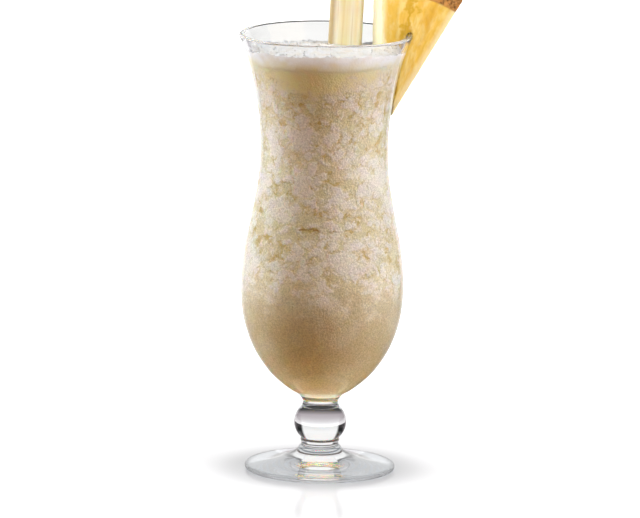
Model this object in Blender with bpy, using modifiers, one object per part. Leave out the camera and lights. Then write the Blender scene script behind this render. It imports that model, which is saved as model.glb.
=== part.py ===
"""A frozen pina colada in its footed hurricane glass, with a cane stick and a pineapple wedge.

Metres, +Z up. The origin is the middle of the foot's underside, on the axis of the glass.
+X runs towards the side that carries the wedge, and -Y is the front.
"""

import math

import bmesh
import bpy
from mathutils import Matrix, Vector, noise

MM = 0.001
GAP = 0.35 * MM
TURN_STEPS = 48

# Bowl of the glass: each station is (height, outer radius), joined by a smooth curve
RIM_HEIGHT = 205 * MM
RIM_RADIUS = 40.1 * MM
RIM_BEAD_RADIUS = 1.25 * MM
WALL_AT_RIM = 2.3 * MM
WALL_AT_FLOOR = 4.1 * MM
BOWL_STATIONS = [
    (33.3 * MM, 8.9 * MM),
    (35.6 * MM, 10.7 * MM),
    (37.6 * MM, 14.1 * MM),
    (41.4 * MM, 19.1 * MM),
    (47.1 * MM, 24.9 * MM),
    (58.4 * MM, 32.1 * MM),
    (72.0 * MM, 36.5 * MM),
    (87.0 * MM, 37.8 * MM),
    (103.7 * MM, 36.4 * MM),
    (120.7 * MM, 33.1 * MM),
    (137.7 * MM, 30.3 * MM),
    (153.2 * MM, 29.6 * MM),
    (168.8 * MM, 30.8 * MM),
    (185.7 * MM, 33.9 * MM),
    (196.2 * MM, 36.9 * MM),
    (203.8 * MM, 40.1 * MM),
]
BOWL_SAMPLES = 20
BOWL_SAMPLE_GROWTH = 1.35

# Inside of the bowl: a nearly flat floor that turns up into the wall at the corner height
FLOOR_HEIGHT = 38.2 * MM
CORNER_HEIGHT = 39.8 * MM
FLOOR_RISE_POWER = 3

# Solid stem: a ball between two short waisted necks
NECK_RADIUS = 8.6 * MM
UPPER_NECK_HEIGHT = 31.4 * MM
LOWER_NECK_HEIGHT = 13.9 * MM
BALL_HEIGHT = 22.2 * MM
BALL_RADIUS = 12.1 * MM
BALL_HALF_HEIGHT = 10.6 * MM
BALL_POINTS = 11

# Foot: each station is (height, radius) on its upper face
FOOT_RADIUS = 34.85 * MM
FOOT_EDGE_RADIUS = 1.35 * MM
FOOT_STATIONS = [
    (2.7 * MM, 33.5 * MM),
    (3.6 * MM, 27.0 * MM),
    (5.0 * MM, 19.5 * MM),
    (7.0 * MM, 13.9 * MM),
    (9.0 * MM, 11.4 * MM),
    (11.2 * MM, 9.6 * MM),
    (13.0 * MM, 8.8 * MM),
]

# Drink: settled liquid, icy slush on it, and froth on top
LIQUID_TOP = 82 * MM
LIQUID_WAVE = 3.0 * MM
LIQUID_WAVE_LENGTH = 24 * MM
SLUSH_TOP = 193.4 * MM
SLUSH_WAVE = 0.6 * MM
SLUSH_WAVE_LENGTH = 12 * MM
FROTH_TOP = 197.0 * MM
FROTH_CROWN = 1.6 * MM
FROTH_LUMP = 0.7 * MM
FROTH_LUMP_LENGTH = 8 * MM

# Stick of peeled cane: it leans back and to the right out of the drink
STICK_FOOT = Vector((2.5 * MM, 2.5 * MM, 45.5 * MM))
STICK_LEAN = Vector((0.042, 0.112, 1.0))
STICK_LENGTH = 196 * MM
STICK_WIDTH_LOW = 14.2 * MM
STICK_WIDTH_HIGH = 16.2 * MM
STICK_DEPTH_SHARE = 0.82
STICK_SIDES = 28
STICK_SQUARENESS = 3.4
STICK_GROOVE = 0.12 * MM

# Pineapple wedge: a sector of a round slice, its left edge upright, slit to sit over the rim
WEDGE_TURN = math.radians(17)
WEDGE_ANGLE = math.radians(32.5)
WEDGE_THICKNESS = 15 * MM
WEDGE_RADIUS = 71.5 * MM
WEDGE_POINT_RADIUS = 1.2 * MM
WEDGE_POINT_REACH = 24.7 * MM
WEDGE_POINT_HEIGHT = 157.7 * MM
WEDGE_CUTS = 8
WEDGE_EDGE_RADIUS = 0.8 * MM
SLIT_BOTTOM = 150 * MM

# Eyes of the rind: domes in rows across the slice
EYE_SPACING = 21 * MM
EYE_ROW_SPACING = 16 * MM
EYE_ROW_SHIFT = 3 * MM
EYE_RELIEF = 2.2 * MM


def smooth_curve(stations, position):
    """Value and slope, at a position, of a smooth curve through (position, value) stations."""
    last = len(stations) - 1
    index = 0
    while index < last - 1 and position > stations[index + 1][0]:
        index += 1

    def tangent(at):
        before = stations[max(at - 1, 0)]
        after = stations[min(at + 1, last)]
        return (after[1] - before[1]) / (after[0] - before[0])

    start, low = stations[index]
    end, high = stations[index + 1]
    span = end - start
    t = (position - start) / span
    leaving = tangent(index) * span
    arriving = tangent(index + 1) * span
    rise = 3 * t**2 - 2 * t**3
    value = low + (high - low) * rise + (t**3 - 2 * t**2 + t) * leaving + (t**3 - t**2) * arriving
    steepness = 6 * (t - t**2) * (high - low)
    steepness += (3 * t**2 - 4 * t + 1) * leaving + (3 * t**2 - 2 * t) * arriving
    return value, steepness / span


def outer_radius(height, clearance=0):
    """Radius of the bowl's outer face, or of a surface that stands clear of it."""
    radius, slope = smooth_curve(BOWL_STATIONS, height)
    return radius + clearance * math.hypot(1, slope)


def inner_radius(height, clearance=0):
    """Radius of the bowl's inner face, or of a surface that stands clear of it."""
    share = (RIM_HEIGHT - height) / (RIM_HEIGHT - CORNER_HEIGHT)
    wall = WALL_AT_RIM + (WALL_AT_FLOOR - WALL_AT_RIM) * share
    return outer_radius(height, -wall - clearance)


def floor_height(radius, clearance=0):
    """Height of the bowl's floor, or of a surface that stands clear of it."""
    share = min(radius / inner_radius(CORNER_HEIGHT, clearance), 1)
    rise = (CORNER_HEIGHT - FLOOR_HEIGHT) * share**FLOOR_RISE_POWER
    return FLOOR_HEIGHT + clearance + rise


def bowl_heights(low):
    """Sample heights up the bowl from a lowest one, closer together where the bowl turns under."""
    high = BOWL_STATIONS[-1][0]
    shares = [(i / BOWL_SAMPLES) ** BOWL_SAMPLE_GROWTH for i in range(BOWL_SAMPLES + 1)]
    return [low + (high - low) * share for share in shares]


def arc(centre, radius, start, end, count):
    """Points of an arc from the start to the end angle, in degrees from the outward direction."""
    angles = [math.radians(start + (end - start) * i / (count - 1)) for i in range(count)]
    return [(centre[0] + radius * math.cos(a), centre[1] + radius * math.sin(a)) for a in angles]


def rim_points(clearance=0):
    """The rounded top of the rim, from the inside over to the outside."""
    centre = (RIM_RADIUS - RIM_BEAD_RADIUS, RIM_HEIGHT - RIM_BEAD_RADIUS)
    return arc(centre, RIM_BEAD_RADIUS + clearance, 180, 0, 7)


def inner_points():
    """The bowl's inside, from the middle of its floor up to the rim's bead."""
    corner = inner_radius(CORNER_HEIGHT)
    floor = [(corner * share, floor_height(corner * share)) for share in (0, 0.45, 0.75)]
    return floor + [(inner_radius(h), h) for h in bowl_heights(CORNER_HEIGHT)[:-1]]


def outer_points():
    """The bowl's outside, from the rim's bead down to the stem."""
    heights = bowl_heights(BOWL_STATIONS[0][0])[:-1]
    return [(outer_radius(h), h) for h in reversed(heights)]


def stem_points():
    """The necks and the ball between them, from the top down."""
    rise = BALL_HALF_HEIGHT * math.sqrt(1 - (NECK_RADIUS / BALL_RADIUS) ** 2)
    reach = math.degrees(math.asin(rise / BALL_HALF_HEIGHT))
    flattening = BALL_HALF_HEIGHT / BALL_RADIUS
    ball = arc((0, 0), BALL_RADIUS, reach, -reach, BALL_POINTS)
    upper = [(NECK_RADIUS, UPPER_NECK_HEIGHT)]
    lower = [(NECK_RADIUS, LOWER_NECK_HEIGHT)]
    return upper + [(r, BALL_HEIGHT + h * flattening) for r, h in ball] + lower


def foot_points():
    """The foot's upper face, its rounded edge and its flat underside, ending at the middle."""
    upper = [(radius, height) for height, radius in reversed(FOOT_STATIONS)]
    centre = (FOOT_RADIUS - FOOT_EDGE_RADIUS, FOOT_EDGE_RADIUS)
    edge = arc(centre, FOOT_EDGE_RADIUS, 60, -90, 6)
    return upper + edge + [(centre[0] / 2, 0), (0, 0)]


def glass_profile():
    """The whole glass, from the middle of the bowl's floor over the rim to the foot's middle."""
    return inner_points() + rim_points() + outer_points() + stem_points() + foot_points()


def slit_profile():
    """The glass wall near the rim with a gap all round it, as a closed loop."""
    heights = [h for h in bowl_heights(BOWL_STATIONS[0][0])[:-1] if h > SLIT_BOTTOM]
    inner = [(inner_radius(h, GAP), h) for h in heights]
    outer = [(outer_radius(h, GAP), h) for h in reversed(heights)]
    return inner + rim_points(GAP) + outer


def turned(name, profile, closed=False):
    """An object made by turning a profile of (radius, height) points about Z."""
    mesh = bpy.data.meshes.new(name)
    edges = [(i, i + 1) for i in range(len(profile) - 1)]
    if closed:
        edges.append((len(profile) - 1, 0))
    mesh.from_pydata([(radius, 0, height) for radius, height in profile], edges, [])
    obj = bpy.data.objects.new(name, mesh)
    screw = obj.modifiers.new("turn", "SCREW")
    screw.axis = "Z"
    screw.steps = TURN_STEPS
    screw.render_steps = TURN_STEPS
    screw.use_merge_vertices = True
    screw.merge_threshold = 0.05 * MM
    screw.use_smooth_shade = True
    return obj


def liquid_floor(x, y):
    """The bottom of the drink, a gap above the bowl's floor."""
    return floor_height(math.hypot(x, y), GAP)


def liquid_top(x, y):
    """Uneven line where the settled liquid gives way to the slush."""
    spot = Vector((x, y, 0)) / LIQUID_WAVE_LENGTH + Vector((3.1, 0.4, 0))
    return LIQUID_TOP + LIQUID_WAVE * noise.noise(spot)


def slush_floor(x, y):
    """The underside of the slush, a gap above the liquid."""
    return liquid_top(x, y) + GAP


def slush_top(x, y):
    """Slightly uneven line between the slush and the froth."""
    spot = Vector((x, y, 0)) / SLUSH_WAVE_LENGTH
    return SLUSH_TOP + SLUSH_WAVE * noise.noise(spot)


def froth_floor(x, y):
    """The underside of the froth, a gap above the slush."""
    return slush_top(x, y) + GAP


def froth_top(x, y):
    """Lumpy froth, low at the wall and crowned in the middle."""
    share = min(math.hypot(x, y) / inner_radius(FROTH_TOP), 1)
    spot = Vector((x, y, 0)) / FROTH_LUMP_LENGTH
    lumps = noise.noise(spot) + 0.5 * noise.noise(spot * 2 + Vector((0, 0, 1)))
    return FROTH_TOP + FROTH_CROWN * (1 - share**2) + FROTH_LUMP * lumps


def poured(name, floor, top, top_rings, wall_rings, floor_rings):
    """A layer that fills the bowl between two surfaces: a sphere's rings are laid over its top,
    down the bowl's wall and under it."""
    rings = top_rings + wall_rings + floor_rings
    bm = bmesh.new()
    bmesh.ops.create_uvsphere(bm, u_segments=TURN_STEPS, v_segments=rings, radius=1)
    for vertex in bm.verts:
        ring = rings * math.acos(max(-1, min(1, vertex.co.z))) / math.pi
        turn = math.atan2(vertex.co.y, vertex.co.x)
        outward = Vector((math.cos(turn), math.sin(turn)))
        high = top(*outward * inner_radius(top(0, 0), GAP))
        low = floor(*outward * inner_radius(max(floor(0, 0), CORNER_HEIGHT), GAP))
        if ring < top_rings:
            spot = outward * inner_radius(high, GAP) * ring / top_rings
            height = top(*spot)
        elif ring > top_rings + wall_rings:
            spot = outward * inner_radius(low, GAP) * (rings - ring) / floor_rings
            height = floor(*spot)
        else:
            height = high + (low - high) * (ring - top_rings) / wall_rings
            spot = outward * inner_radius(height, GAP)
        vertex.co = (spot.x, spot.y, height)
    return from_bmesh(name, bm)


def from_bmesh(name, bm):
    """A new object that holds a finished bmesh."""
    mesh = bpy.data.meshes.new(name)
    bm.to_mesh(mesh)
    bm.free()
    return bpy.data.objects.new(name, mesh)


def stick(name, clearance):
    """A long squarish stick with fine grooves down it, a little wider at the top."""
    bm = bmesh.new()
    bmesh.ops.create_cone(
        bm,
        cap_ends=True,
        segments=STICK_SIDES,
        radius1=1,
        radius2=1,
        depth=STICK_LENGTH + 2 * clearance,
        matrix=Matrix.Translation((0, 0, STICK_LENGTH / 2)),
    )
    power = 2 / STICK_SQUARENESS
    for index, vertex in enumerate(bm.verts):
        x, y, z = vertex.co
        width = STICK_WIDTH_LOW + (STICK_WIDTH_HIGH - STICK_WIDTH_LOW) * z / STICK_LENGTH
        groove = 0 if clearance else STICK_GROOVE * (index // 2 % 2)
        half_width = width / 2 + clearance - groove
        half_depth = width * STICK_DEPTH_SHARE / 2 + clearance - groove
        vertex.co.x = math.copysign(abs(x) ** power, x) * half_width
        vertex.co.y = math.copysign(abs(y) ** power, y) * half_depth
    obj = from_bmesh(name, bm)
    obj.location = STICK_FOOT
    obj.rotation_mode = "QUATERNION"
    obj.rotation_quaternion = Vector((0, 0, 1)).rotation_difference(STICK_LEAN)
    return obj


def eye_relief(along, across):
    """How far the rind's domed eyes stand out at a place along the rind and across the slice."""
    best = 0
    for row in range(-1, 2):
        row_centre = EYE_ROW_SHIFT + row * EYE_ROW_SPACING
        for number in range(-1, 4):
            centre = (number + 0.35 + 0.5 * (row % 2)) * EYE_SPACING
            distance = math.hypot(along - centre, across - row_centre) / (EYE_SPACING / 2)
            best = max(best, 1 - distance**2)
    return EYE_RELIEF * math.sqrt(best)


def wedge(name, clearance):
    """The pineapple wedge before it is slit, with its point down and its rind up."""
    bm = bmesh.new()
    bmesh.ops.create_cube(bm, size=2)
    bmesh.ops.subdivide_edges(bm, edges=bm.edges[:], cuts=WEDGE_CUTS, use_grid_fill=True)
    half_angle = WEDGE_ANGLE / 2
    retreat = clearance / math.sin(half_angle)
    point = Vector((-math.sin(half_angle), 0, -math.cos(half_angle))) * retreat
    for vertex in bm.verts:
        side, depth, up = vertex.co
        angle = WEDGE_ANGLE * (side + 1) / 2
        across = depth * (WEDGE_THICKNESS / 2 + clearance)
        skin = WEDGE_RADIUS + 2 * retreat + eye_relief(angle * WEDGE_RADIUS, across)
        radius = WEDGE_POINT_RADIUS + (skin - WEDGE_POINT_RADIUS) * (up + 1) / 2
        vertex.co = point + Vector((math.sin(angle) * radius, across, math.cos(angle) * radius))
    obj = from_bmesh(name, bm)
    obj.rotation_euler.z = WEDGE_TURN
    reach = Vector((math.cos(WEDGE_TURN), math.sin(WEDGE_TURN), 0)) * WEDGE_POINT_REACH
    obj.location = reach + Vector((0, 0, WEDGE_POINT_HEIGHT))
    return obj


def material(name, colour, roughness, transmission=0.0):
    """A plain finish; the colour is linear red, green and blue."""
    made = bpy.data.materials.new(name)
    made.use_nodes = True
    shader = made.node_tree.nodes["Principled BSDF"]
    shader.inputs["Base Color"].default_value = (*colour, 1)
    shader.inputs["Roughness"].default_value = roughness
    shader.inputs["Metallic"].default_value = 0.0
    shader.inputs["Transmission Weight"].default_value = transmission
    made.diffuse_color = (*colour, 1)
    return made


def cut(obj, cutter):
    """Takes a cutter's shape out of an object."""
    boolean = obj.modifiers.new("cut by " + cutter.name, "BOOLEAN")
    boolean.operation = "DIFFERENCE"
    boolean.solver = "EXACT"
    boolean.object = cutter


def round_edges(obj, width):
    """Softens an object's sharp edges."""
    bevel = obj.modifiers.new("soft edges", "BEVEL")
    bevel.width = width
    bevel.segments = 2
    bevel.limit_method = "ANGLE"
    bevel.angle_limit = math.radians(50)


def place(obj, collection, finish):
    """Puts a sub-part in its collection, shaded smooth but for its sharp edges."""
    collection.objects.link(obj)
    obj.data.materials.append(finish)
    obj.data.shade_smooth()
    obj.data.set_sharp_from_angle(angle=math.radians(40))
    return obj


def place_cutter(obj, collection):
    """Puts a cutter in its collection, where it is drawn as wires and never rendered."""
    collection.objects.link(obj)
    obj.hide_render = True
    obj.display_type = "WIRE"
    return obj


def new_collection(name):
    """A new collection in the scene."""
    made = bpy.data.collections.new(name)
    bpy.context.scene.collection.children.link(made)
    return made


def main():
    for obj in list(bpy.data.objects):
        bpy.data.objects.remove(obj)
    parts = new_collection("pina_colada")
    cutters = new_collection("cutters")

    slit = place_cutter(turned("slit_cutter", slit_profile(), closed=True), cutters)
    stick_room = place_cutter(stick("stick_cutter", GAP), cutters)
    wedge_room = place_cutter(wedge("wedge_cutter", GAP), cutters)

    clear_glass = material("clear glass", (0.95, 0.97, 0.98), 0.0, transmission=1.0)
    place(turned("glass", glass_profile()), parts, clear_glass)

    liquid = poured("liquid", liquid_floor, liquid_top, top_rings=4, wall_rings=7, floor_rings=3)
    slush = poured("slush", slush_floor, slush_top, top_rings=4, wall_rings=13, floor_rings=4)
    froth = poured("froth", froth_floor, froth_top, top_rings=8, wall_rings=2, floor_rings=4)
    place(liquid, parts, material("settled coconut liquid", (0.62, 0.47, 0.26), 0.35))
    place(slush, parts, material("icy slush", (0.76, 0.67, 0.50), 0.45))
    place(froth, parts, material("white froth", (0.88, 0.87, 0.83), 0.5))
    cut(liquid, stick_room)
    for layer in (slush, froth):
        cut(layer, stick_room)
        cut(layer, wedge_room)

    cane = place(stick("cane_stick", 0), parts, material("peeled cane", (0.84, 0.77, 0.50), 0.55))
    round_edges(cane, STICK_GROOVE * 4)

    pineapple = wedge("pineapple_wedge", 0)
    place(pineapple, parts, material("pineapple flesh", (0.80, 0.52, 0.13), 0.4))
    round_edges(pineapple, WEDGE_EDGE_RADIUS)
    cut(pineapple, slit)


main()
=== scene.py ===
# A frozen pina colada in its hurricane glass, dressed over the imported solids.
# Metres, +Z up. The glass stands on the floor with its axis on Z, and -Y is the front.
import math

import bmesh
import bpy
from mathutils import Matrix, Vector, noise


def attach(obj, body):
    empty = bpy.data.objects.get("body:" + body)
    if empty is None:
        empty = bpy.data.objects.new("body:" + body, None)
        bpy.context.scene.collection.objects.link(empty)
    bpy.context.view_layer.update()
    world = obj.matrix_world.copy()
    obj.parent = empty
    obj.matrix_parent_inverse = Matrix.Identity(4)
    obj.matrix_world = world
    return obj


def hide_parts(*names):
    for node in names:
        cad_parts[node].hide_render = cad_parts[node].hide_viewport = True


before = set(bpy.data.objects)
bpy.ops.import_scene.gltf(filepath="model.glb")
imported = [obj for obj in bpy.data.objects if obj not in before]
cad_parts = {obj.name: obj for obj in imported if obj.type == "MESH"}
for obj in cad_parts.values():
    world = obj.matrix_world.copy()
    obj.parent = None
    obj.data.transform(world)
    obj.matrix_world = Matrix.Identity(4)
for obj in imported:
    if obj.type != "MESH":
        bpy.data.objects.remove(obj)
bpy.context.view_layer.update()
mm = 0.001
print("frame loaded:", sorted(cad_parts))


# Helpers

def linearColour(hexCode):
    channels = [int(hexCode[i:i + 2], 16) / 255 for i in (1, 3, 5)]
    linear = [c / 12.92 if c <= 0.04045 else ((c + 0.055) / 1.055) ** 2.4 for c in channels]
    return (*linear, 1.0)


def addNode(tree, kind, inputs=None, **settings):
    node = tree.nodes.new(kind)
    for name, value in settings.items():
        setattr(node, name, value)
    for socket, value in (inputs or {}).items():
        if isinstance(value, bpy.types.NodeSocket):
            tree.links.new(value, node.inputs[socket])
        else:
            node.inputs[socket].default_value = value
    return node


def distanceTo(tree, value, middle):
    # how far a value is from this middle, to either side
    offset = addNode(tree, "ShaderNodeMath", {0: value, 1: middle}, operation="SUBTRACT").outputs[0]
    return addNode(tree, "ShaderNodeMath", {0: offset}, operation="ABSOLUTE").outputs[0]


def newMaterial(name):
    made = bpy.data.materials.new(name)
    made.use_nodes = True
    made.node_tree.nodes.clear()
    return made, made.node_tree


def newObject(name, mesh):
    obj = bpy.data.objects.new(name, mesh)
    bpy.context.scene.collection.objects.link(obj)
    return obj


def newTree(name, sockets):
    # a geometry tree with one geometry in and out, and named inputs of the given kinds
    tree = bpy.data.node_groups.new(name, "GeometryNodeTree")
    tree.interface.new_socket("Geometry", in_out="OUTPUT", socket_type="NodeSocketGeometry")
    tree.interface.new_socket("Base", in_out="INPUT", socket_type="NodeSocketGeometry")
    for label, kind in sockets.items():
        tree.interface.new_socket(label, in_out="INPUT", socket_type=kind)
    return tree


def applyTree(obj, tree, values):
    # runs the tree on the object with these input values, and keeps the result as a plain mesh
    modifier = obj.modifiers.new(tree.name, "NODES")
    modifier.node_group = tree
    for item in tree.interface.items_tree:
        if item.name in values:
            modifier[item.identifier] = values[item.name]
    return asPlainMesh(obj)


def asPlainMesh(obj):
    bpy.context.view_layer.update()
    graph = bpy.context.evaluated_depsgraph_get()
    made = bpy.data.meshes.new_from_object(obj.evaluated_get(graph))
    obj.modifiers.clear()
    obj.data = made
    return obj


def laidBall(name, segments, rings, place):
    # a ball's rings and segments, with each point put where place(ring, turn) says
    bm = bmesh.new()
    bmesh.ops.create_uvsphere(bm, u_segments=segments, v_segments=rings, radius=1)
    for vertex in bm.verts:
        ring = rings * math.acos(max(-1, min(1, vertex.co.z))) / math.pi
        turn = math.atan2(vertex.co.y, vertex.co.x)
        vertex.co = place(ring, turn)
    mesh = bpy.data.meshes.new(name)
    bm.to_mesh(mesh)
    bm.free()
    mesh.shade_smooth()
    return newObject(name, mesh)


def dress(obj, node, material=None):
    if material:
        obj.data.materials.clear()
        obj.data.materials.append(material)
    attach(obj, "root")
    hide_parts(node)
    print(f"{obj.name}: {len(obj.data.polygons)} faces")


# Glass: one turned profile, from the middle of the bowl's floor over the rim to the foot's middle

glass = {
    "rimHeight": 205 * mm,
    "rimRadius": 40.1 * mm,
    "beadRadius": 1.25 * mm,
    "wallAtRim": 2.3 * mm,
    "wallAtFloor": 4.1 * mm,
    "bowl": [(33.3, 8.9), (35.6, 10.7), (37.6, 14.1), (41.4, 19.1), (47.1, 24.9), (58.4, 32.1),
             (72.0, 36.5), (87.0, 37.8), (103.7, 36.4), (120.7, 33.1), (137.7, 30.3), (153.2, 29.6),
             (168.8, 30.8), (185.7, 33.9), (196.2, 36.9), (203.8, 40.1)],  # mm: height, radius
    "floorHeight": 38.2 * mm,
    "cornerHeight": 39.8 * mm,
    "floorRisePower": 3,
    "neckAbove": [(37.6, 14.1), (35.6, 10.7), (33.3, 8.75), (31.7, 8.15), (30.8, 8.4), (30.1, 8.75),
                  (29.6, 8.8)],  # mm: height, radius, down to the ball
    "ballHeight": 22.2 * mm,
    "ballRadius": 12.1 * mm,
    "ballHalfHeight": 10.6 * mm,
    "ballReach": 43,  # degrees of the ball above and below its middle
    "neckBelow": [(14.6, 8.8), (13.8, 9.0), (13.1, 8.75), (12.3, 8.55), (11.4, 8.95), (10.5, 9.7),
                  (9.6, 10.3), (8.4, 11.4), (7.0, 13.9), (5.0, 19.5), (3.6, 27.0), (2.7, 33.2)],
    "footRadius": 34.85 * mm,
    "footEdgeRadius": 1.35 * mm,
    "footHollow": 0.5 * mm,  # the underside is a little hollow, so the foot stands on its edge
    "bowlSamples": 56,
    "sampleCrowding": 1.35,  # above 1, more of them lie low in the bowl
    "floorSamples": 12,
    "hollowSamples": 14,
    "turnSteps": 180,
    "waveSize": 11.0,  # mm between the faint waves that pressing leaves in the surface
    "waveHeight": 0.004 * mm,
}


def smoothCurve(stations, position):
    # value and slope, at a position, of a smooth curve through (position, value) stations in mm
    position = position / mm
    last = len(stations) - 1
    index = 0
    while index < last - 1 and position > stations[index + 1][0]:
        index += 1

    def tangent(at):
        before = stations[max(at - 1, 0)]
        after = stations[min(at + 1, last)]
        return (after[1] - before[1]) / (after[0] - before[0])

    start, low = stations[index]
    end, high = stations[index + 1]
    span = end - start
    t = (position - start) / span
    leaving = tangent(index) * span
    arriving = tangent(index + 1) * span
    rise = 3 * t**2 - 2 * t**3
    value = low + (high - low) * rise + (t**3 - 2 * t**2 + t) * leaving + (t**3 - t**2) * arriving
    steepness = 6 * (t - t**2) * (high - low)
    steepness += (3 * t**2 - 4 * t + 1) * leaving + (3 * t**2 - 2 * t) * arriving
    return value * mm, steepness / span


def outerRadius(height, clearance=0.0):
    radius, slope = smoothCurve(glass["bowl"], height)
    return radius + clearance * math.hypot(1, slope)


def innerRadius(height, clearance=0.0):
    share = (glass["rimHeight"] - height) / (glass["rimHeight"] - glass["cornerHeight"])
    wall = glass["wallAtRim"] + (glass["wallAtFloor"] - glass["wallAtRim"]) * share
    return outerRadius(height, -wall - clearance)


def bowlFloor(radius, clearance=0.0):
    share = min(radius / innerRadius(glass["cornerHeight"], clearance), 1)
    rise = (glass["cornerHeight"] - glass["floorHeight"]) * share ** glass["floorRisePower"]
    return glass["floorHeight"] + clearance + rise


def arcPoints(centre, radius, start, end, count):
    # points of an arc from the start to the end angle, in degrees from the outward direction
    angles = [math.radians(start + (end - start) * i / (count - 1)) for i in range(count)]
    return [(centre[0] + radius * math.cos(a), centre[1] + radius * math.sin(a)) for a in angles]


def curveThrough(points, perSpan):
    # a smooth curve through points, with the first and last ones kept
    padded = [points[0]] + points + [points[-1]]
    made = []
    for before, start, end, after in zip(padded, padded[1:], padded[2:], padded[3:]):
        for step in range(perSpan):
            t = step / perSpan
            made.append(tuple(
                0.5 * (2 * b + (c - a) * t + (2 * a - 5 * b + 4 * c - d) * t**2
                       + (3 * b - a - 3 * c + d) * t**3)
                for a, b, c, d in zip(before, start, end, after)))
    return made + [points[-1]]


def glassProfile():
    samples = glass["bowlSamples"]
    bottom = glass["cornerHeight"]
    top = glass["bowl"][-1][0] * mm
    corner = innerRadius(bottom)
    steps = glass["floorSamples"]
    floor = [(corner * i / steps, bowlFloor(corner * i / steps)) for i in range(steps)]
    shares = [(i / samples) ** glass["sampleCrowding"] for i in range(samples)]
    inside = [(innerRadius(bottom + (top - bottom) * s), bottom + (top - bottom) * s) for s in shares]
    beadCentre = (glass["rimRadius"] - glass["beadRadius"], glass["rimHeight"] - glass["beadRadius"])
    rim = arcPoints(beadCentre, glass["beadRadius"], 180, 0, 19)
    low = glass["neckAbove"][0][0] * mm
    outside = [(outerRadius(low + (top - low) * s), low + (top - low) * s) for s in shares[:0:-1]]
    flattening = glass["ballHalfHeight"] / glass["ballRadius"]
    ball = arcPoints((0, 0), glass["ballRadius"], glass["ballReach"], -glass["ballReach"], 15)
    ball = [(radius, glass["ballHeight"] + height * flattening) for radius, height in ball]
    above = [(radius * mm, height * mm) for height, radius in glass["neckAbove"]]
    below = [(radius * mm, height * mm) for height, radius in glass["neckBelow"]]
    stem = curveThrough(above + ball + below, 4)
    edgeCentre = (glass["footRadius"] - glass["footEdgeRadius"], glass["footEdgeRadius"])
    edge = arcPoints(edgeCentre, glass["footEdgeRadius"], 66, -90, 14)
    reach = edgeCentre[0] * 0.97
    steps = glass["hollowSamples"]
    inward = [1 - i / steps for i in range(steps + 1)]
    hollow = [(reach * share, glass["footHollow"] * (1 - share**2)) for share in inward]
    return floor + inside + rim + outside + stem + edge + hollow


def buildTurningTree():
    tree = newTree("turnedProfile", {"Steps": "NodeSocketInt", "Material": "NodeSocketMaterial"})
    given = addNode(tree, "NodeGroupInput").outputs
    profile = given["Base"]
    points = addNode(tree, "GeometryNodeAttributeDomainSize", {0: profile}).outputs["Point Count"]
    across = addNode(tree, "ShaderNodeMath", {0: given["Steps"], 1: 1.0}, operation="ADD").outputs[0]
    grid = addNode(tree, "GeometryNodeMeshGrid", {"Vertices X": points, "Vertices Y": across})
    index = addNode(tree, "GeometryNodeInputIndex").outputs[0]
    rows = addNode(tree, "ShaderNodeMath", {0: index, 1: across}, operation="DIVIDE").outputs[0]
    row = addNode(tree, "ShaderNodeMath", {0: rows}, operation="FLOOR").outputs[0]
    column = addNode(tree, "ShaderNodeMath", {0: index, 1: across}, operation="MODULO").outputs[0]
    share = addNode(tree, "ShaderNodeMath", {0: column, 1: given["Steps"]}, operation="DIVIDE").outputs[0]
    turn = addNode(tree, "ShaderNodeMath", {0: share, 1: math.tau}, operation="MULTIPLY").outputs[0]
    place = addNode(tree, "GeometryNodeInputPosition").outputs[0]
    sample = addNode(tree, "GeometryNodeSampleIndex", {0: profile, "Value": place, "Index": row},
                     data_type="FLOAT_VECTOR").outputs[0]
    turned = addNode(tree, "ShaderNodeVectorRotate", {"Vector": sample, "Angle": turn},
                     rotation_type="Z_AXIS").outputs[0]
    shaped = addNode(tree, "GeometryNodeSetPosition", {"Geometry": grid.outputs["Mesh"], "Position": turned})
    closed = addNode(tree, "GeometryNodeMergeByDistance", {"Geometry": shaped.outputs[0],
                                                           "Distance": 0.001 * mm})
    smooth = addNode(tree, "GeometryNodeSetShadeSmooth", {"Geometry": closed.outputs[0]})
    real = addNode(tree, "GeometryNodeRealizeInstances", {"Geometry": smooth.outputs[0]})
    finished = addNode(tree, "GeometryNodeSetMaterial", {"Geometry": real.outputs[0],
                                                         "Material": given["Material"]})
    addNode(tree, "NodeGroupOutput", {"Geometry": finished.outputs[0]})
    return tree


def makeClearGlass():
    # Soda-lime glass, pressed and fire polished: colourless and bright, with faint waves in its
    # surface. Light reaches the drink straight through it, which keeps the drink free of noise.
    made, tree = newMaterial("firePolishedSodaLimeGlass")
    place = addNode(tree, "ShaderNodeTexCoord").outputs["Object"]
    waves = addNode(tree, "ShaderNodeTexNoise", {"Vector": place, "Scale": 1 / (glass["waveSize"] * mm),
                                                 "Detail": 1.0}).outputs[0]
    bump = addNode(tree, "ShaderNodeBump", {"Height": waves, "Distance": glass["waveHeight"]}).outputs[0]
    clear = addNode(tree, "ShaderNodeBsdfPrincipled", {
        "Base Color": linearColour("#fdfefe"), "Roughness": 0.0, "IOR": 1.51,
        "Transmission Weight": 1.0, "Normal": bump})
    through = addNode(tree, "ShaderNodeBsdfTransparent", {"Color": linearColour("#f7f8f8")})
    shadow = addNode(tree, "ShaderNodeLightPath").outputs["Is Shadow Ray"]
    both = addNode(tree, "ShaderNodeMixShader", {0: shadow, 1: clear.outputs[0], 2: through.outputs[0]})
    addNode(tree, "ShaderNodeOutputMaterial", {"Surface": both.outputs[0]})
    return made


def makeGlass():
    profile = glassProfile()
    mesh = bpy.data.meshes.new("glassProfile")
    edges = [(i, i + 1) for i in range(len(profile) - 1)]
    mesh.from_pydata([(radius, 0, height) for radius, height in profile], edges, [])
    piece = newObject("hurricaneGlass", mesh)
    applyTree(piece, buildTurningTree(), {"Steps": glass["turnSteps"], "Material": makeClearGlass()})
    dress(piece, "glass")


# Drink: three layers that reach just into the wall, so that no air gap shows

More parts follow.
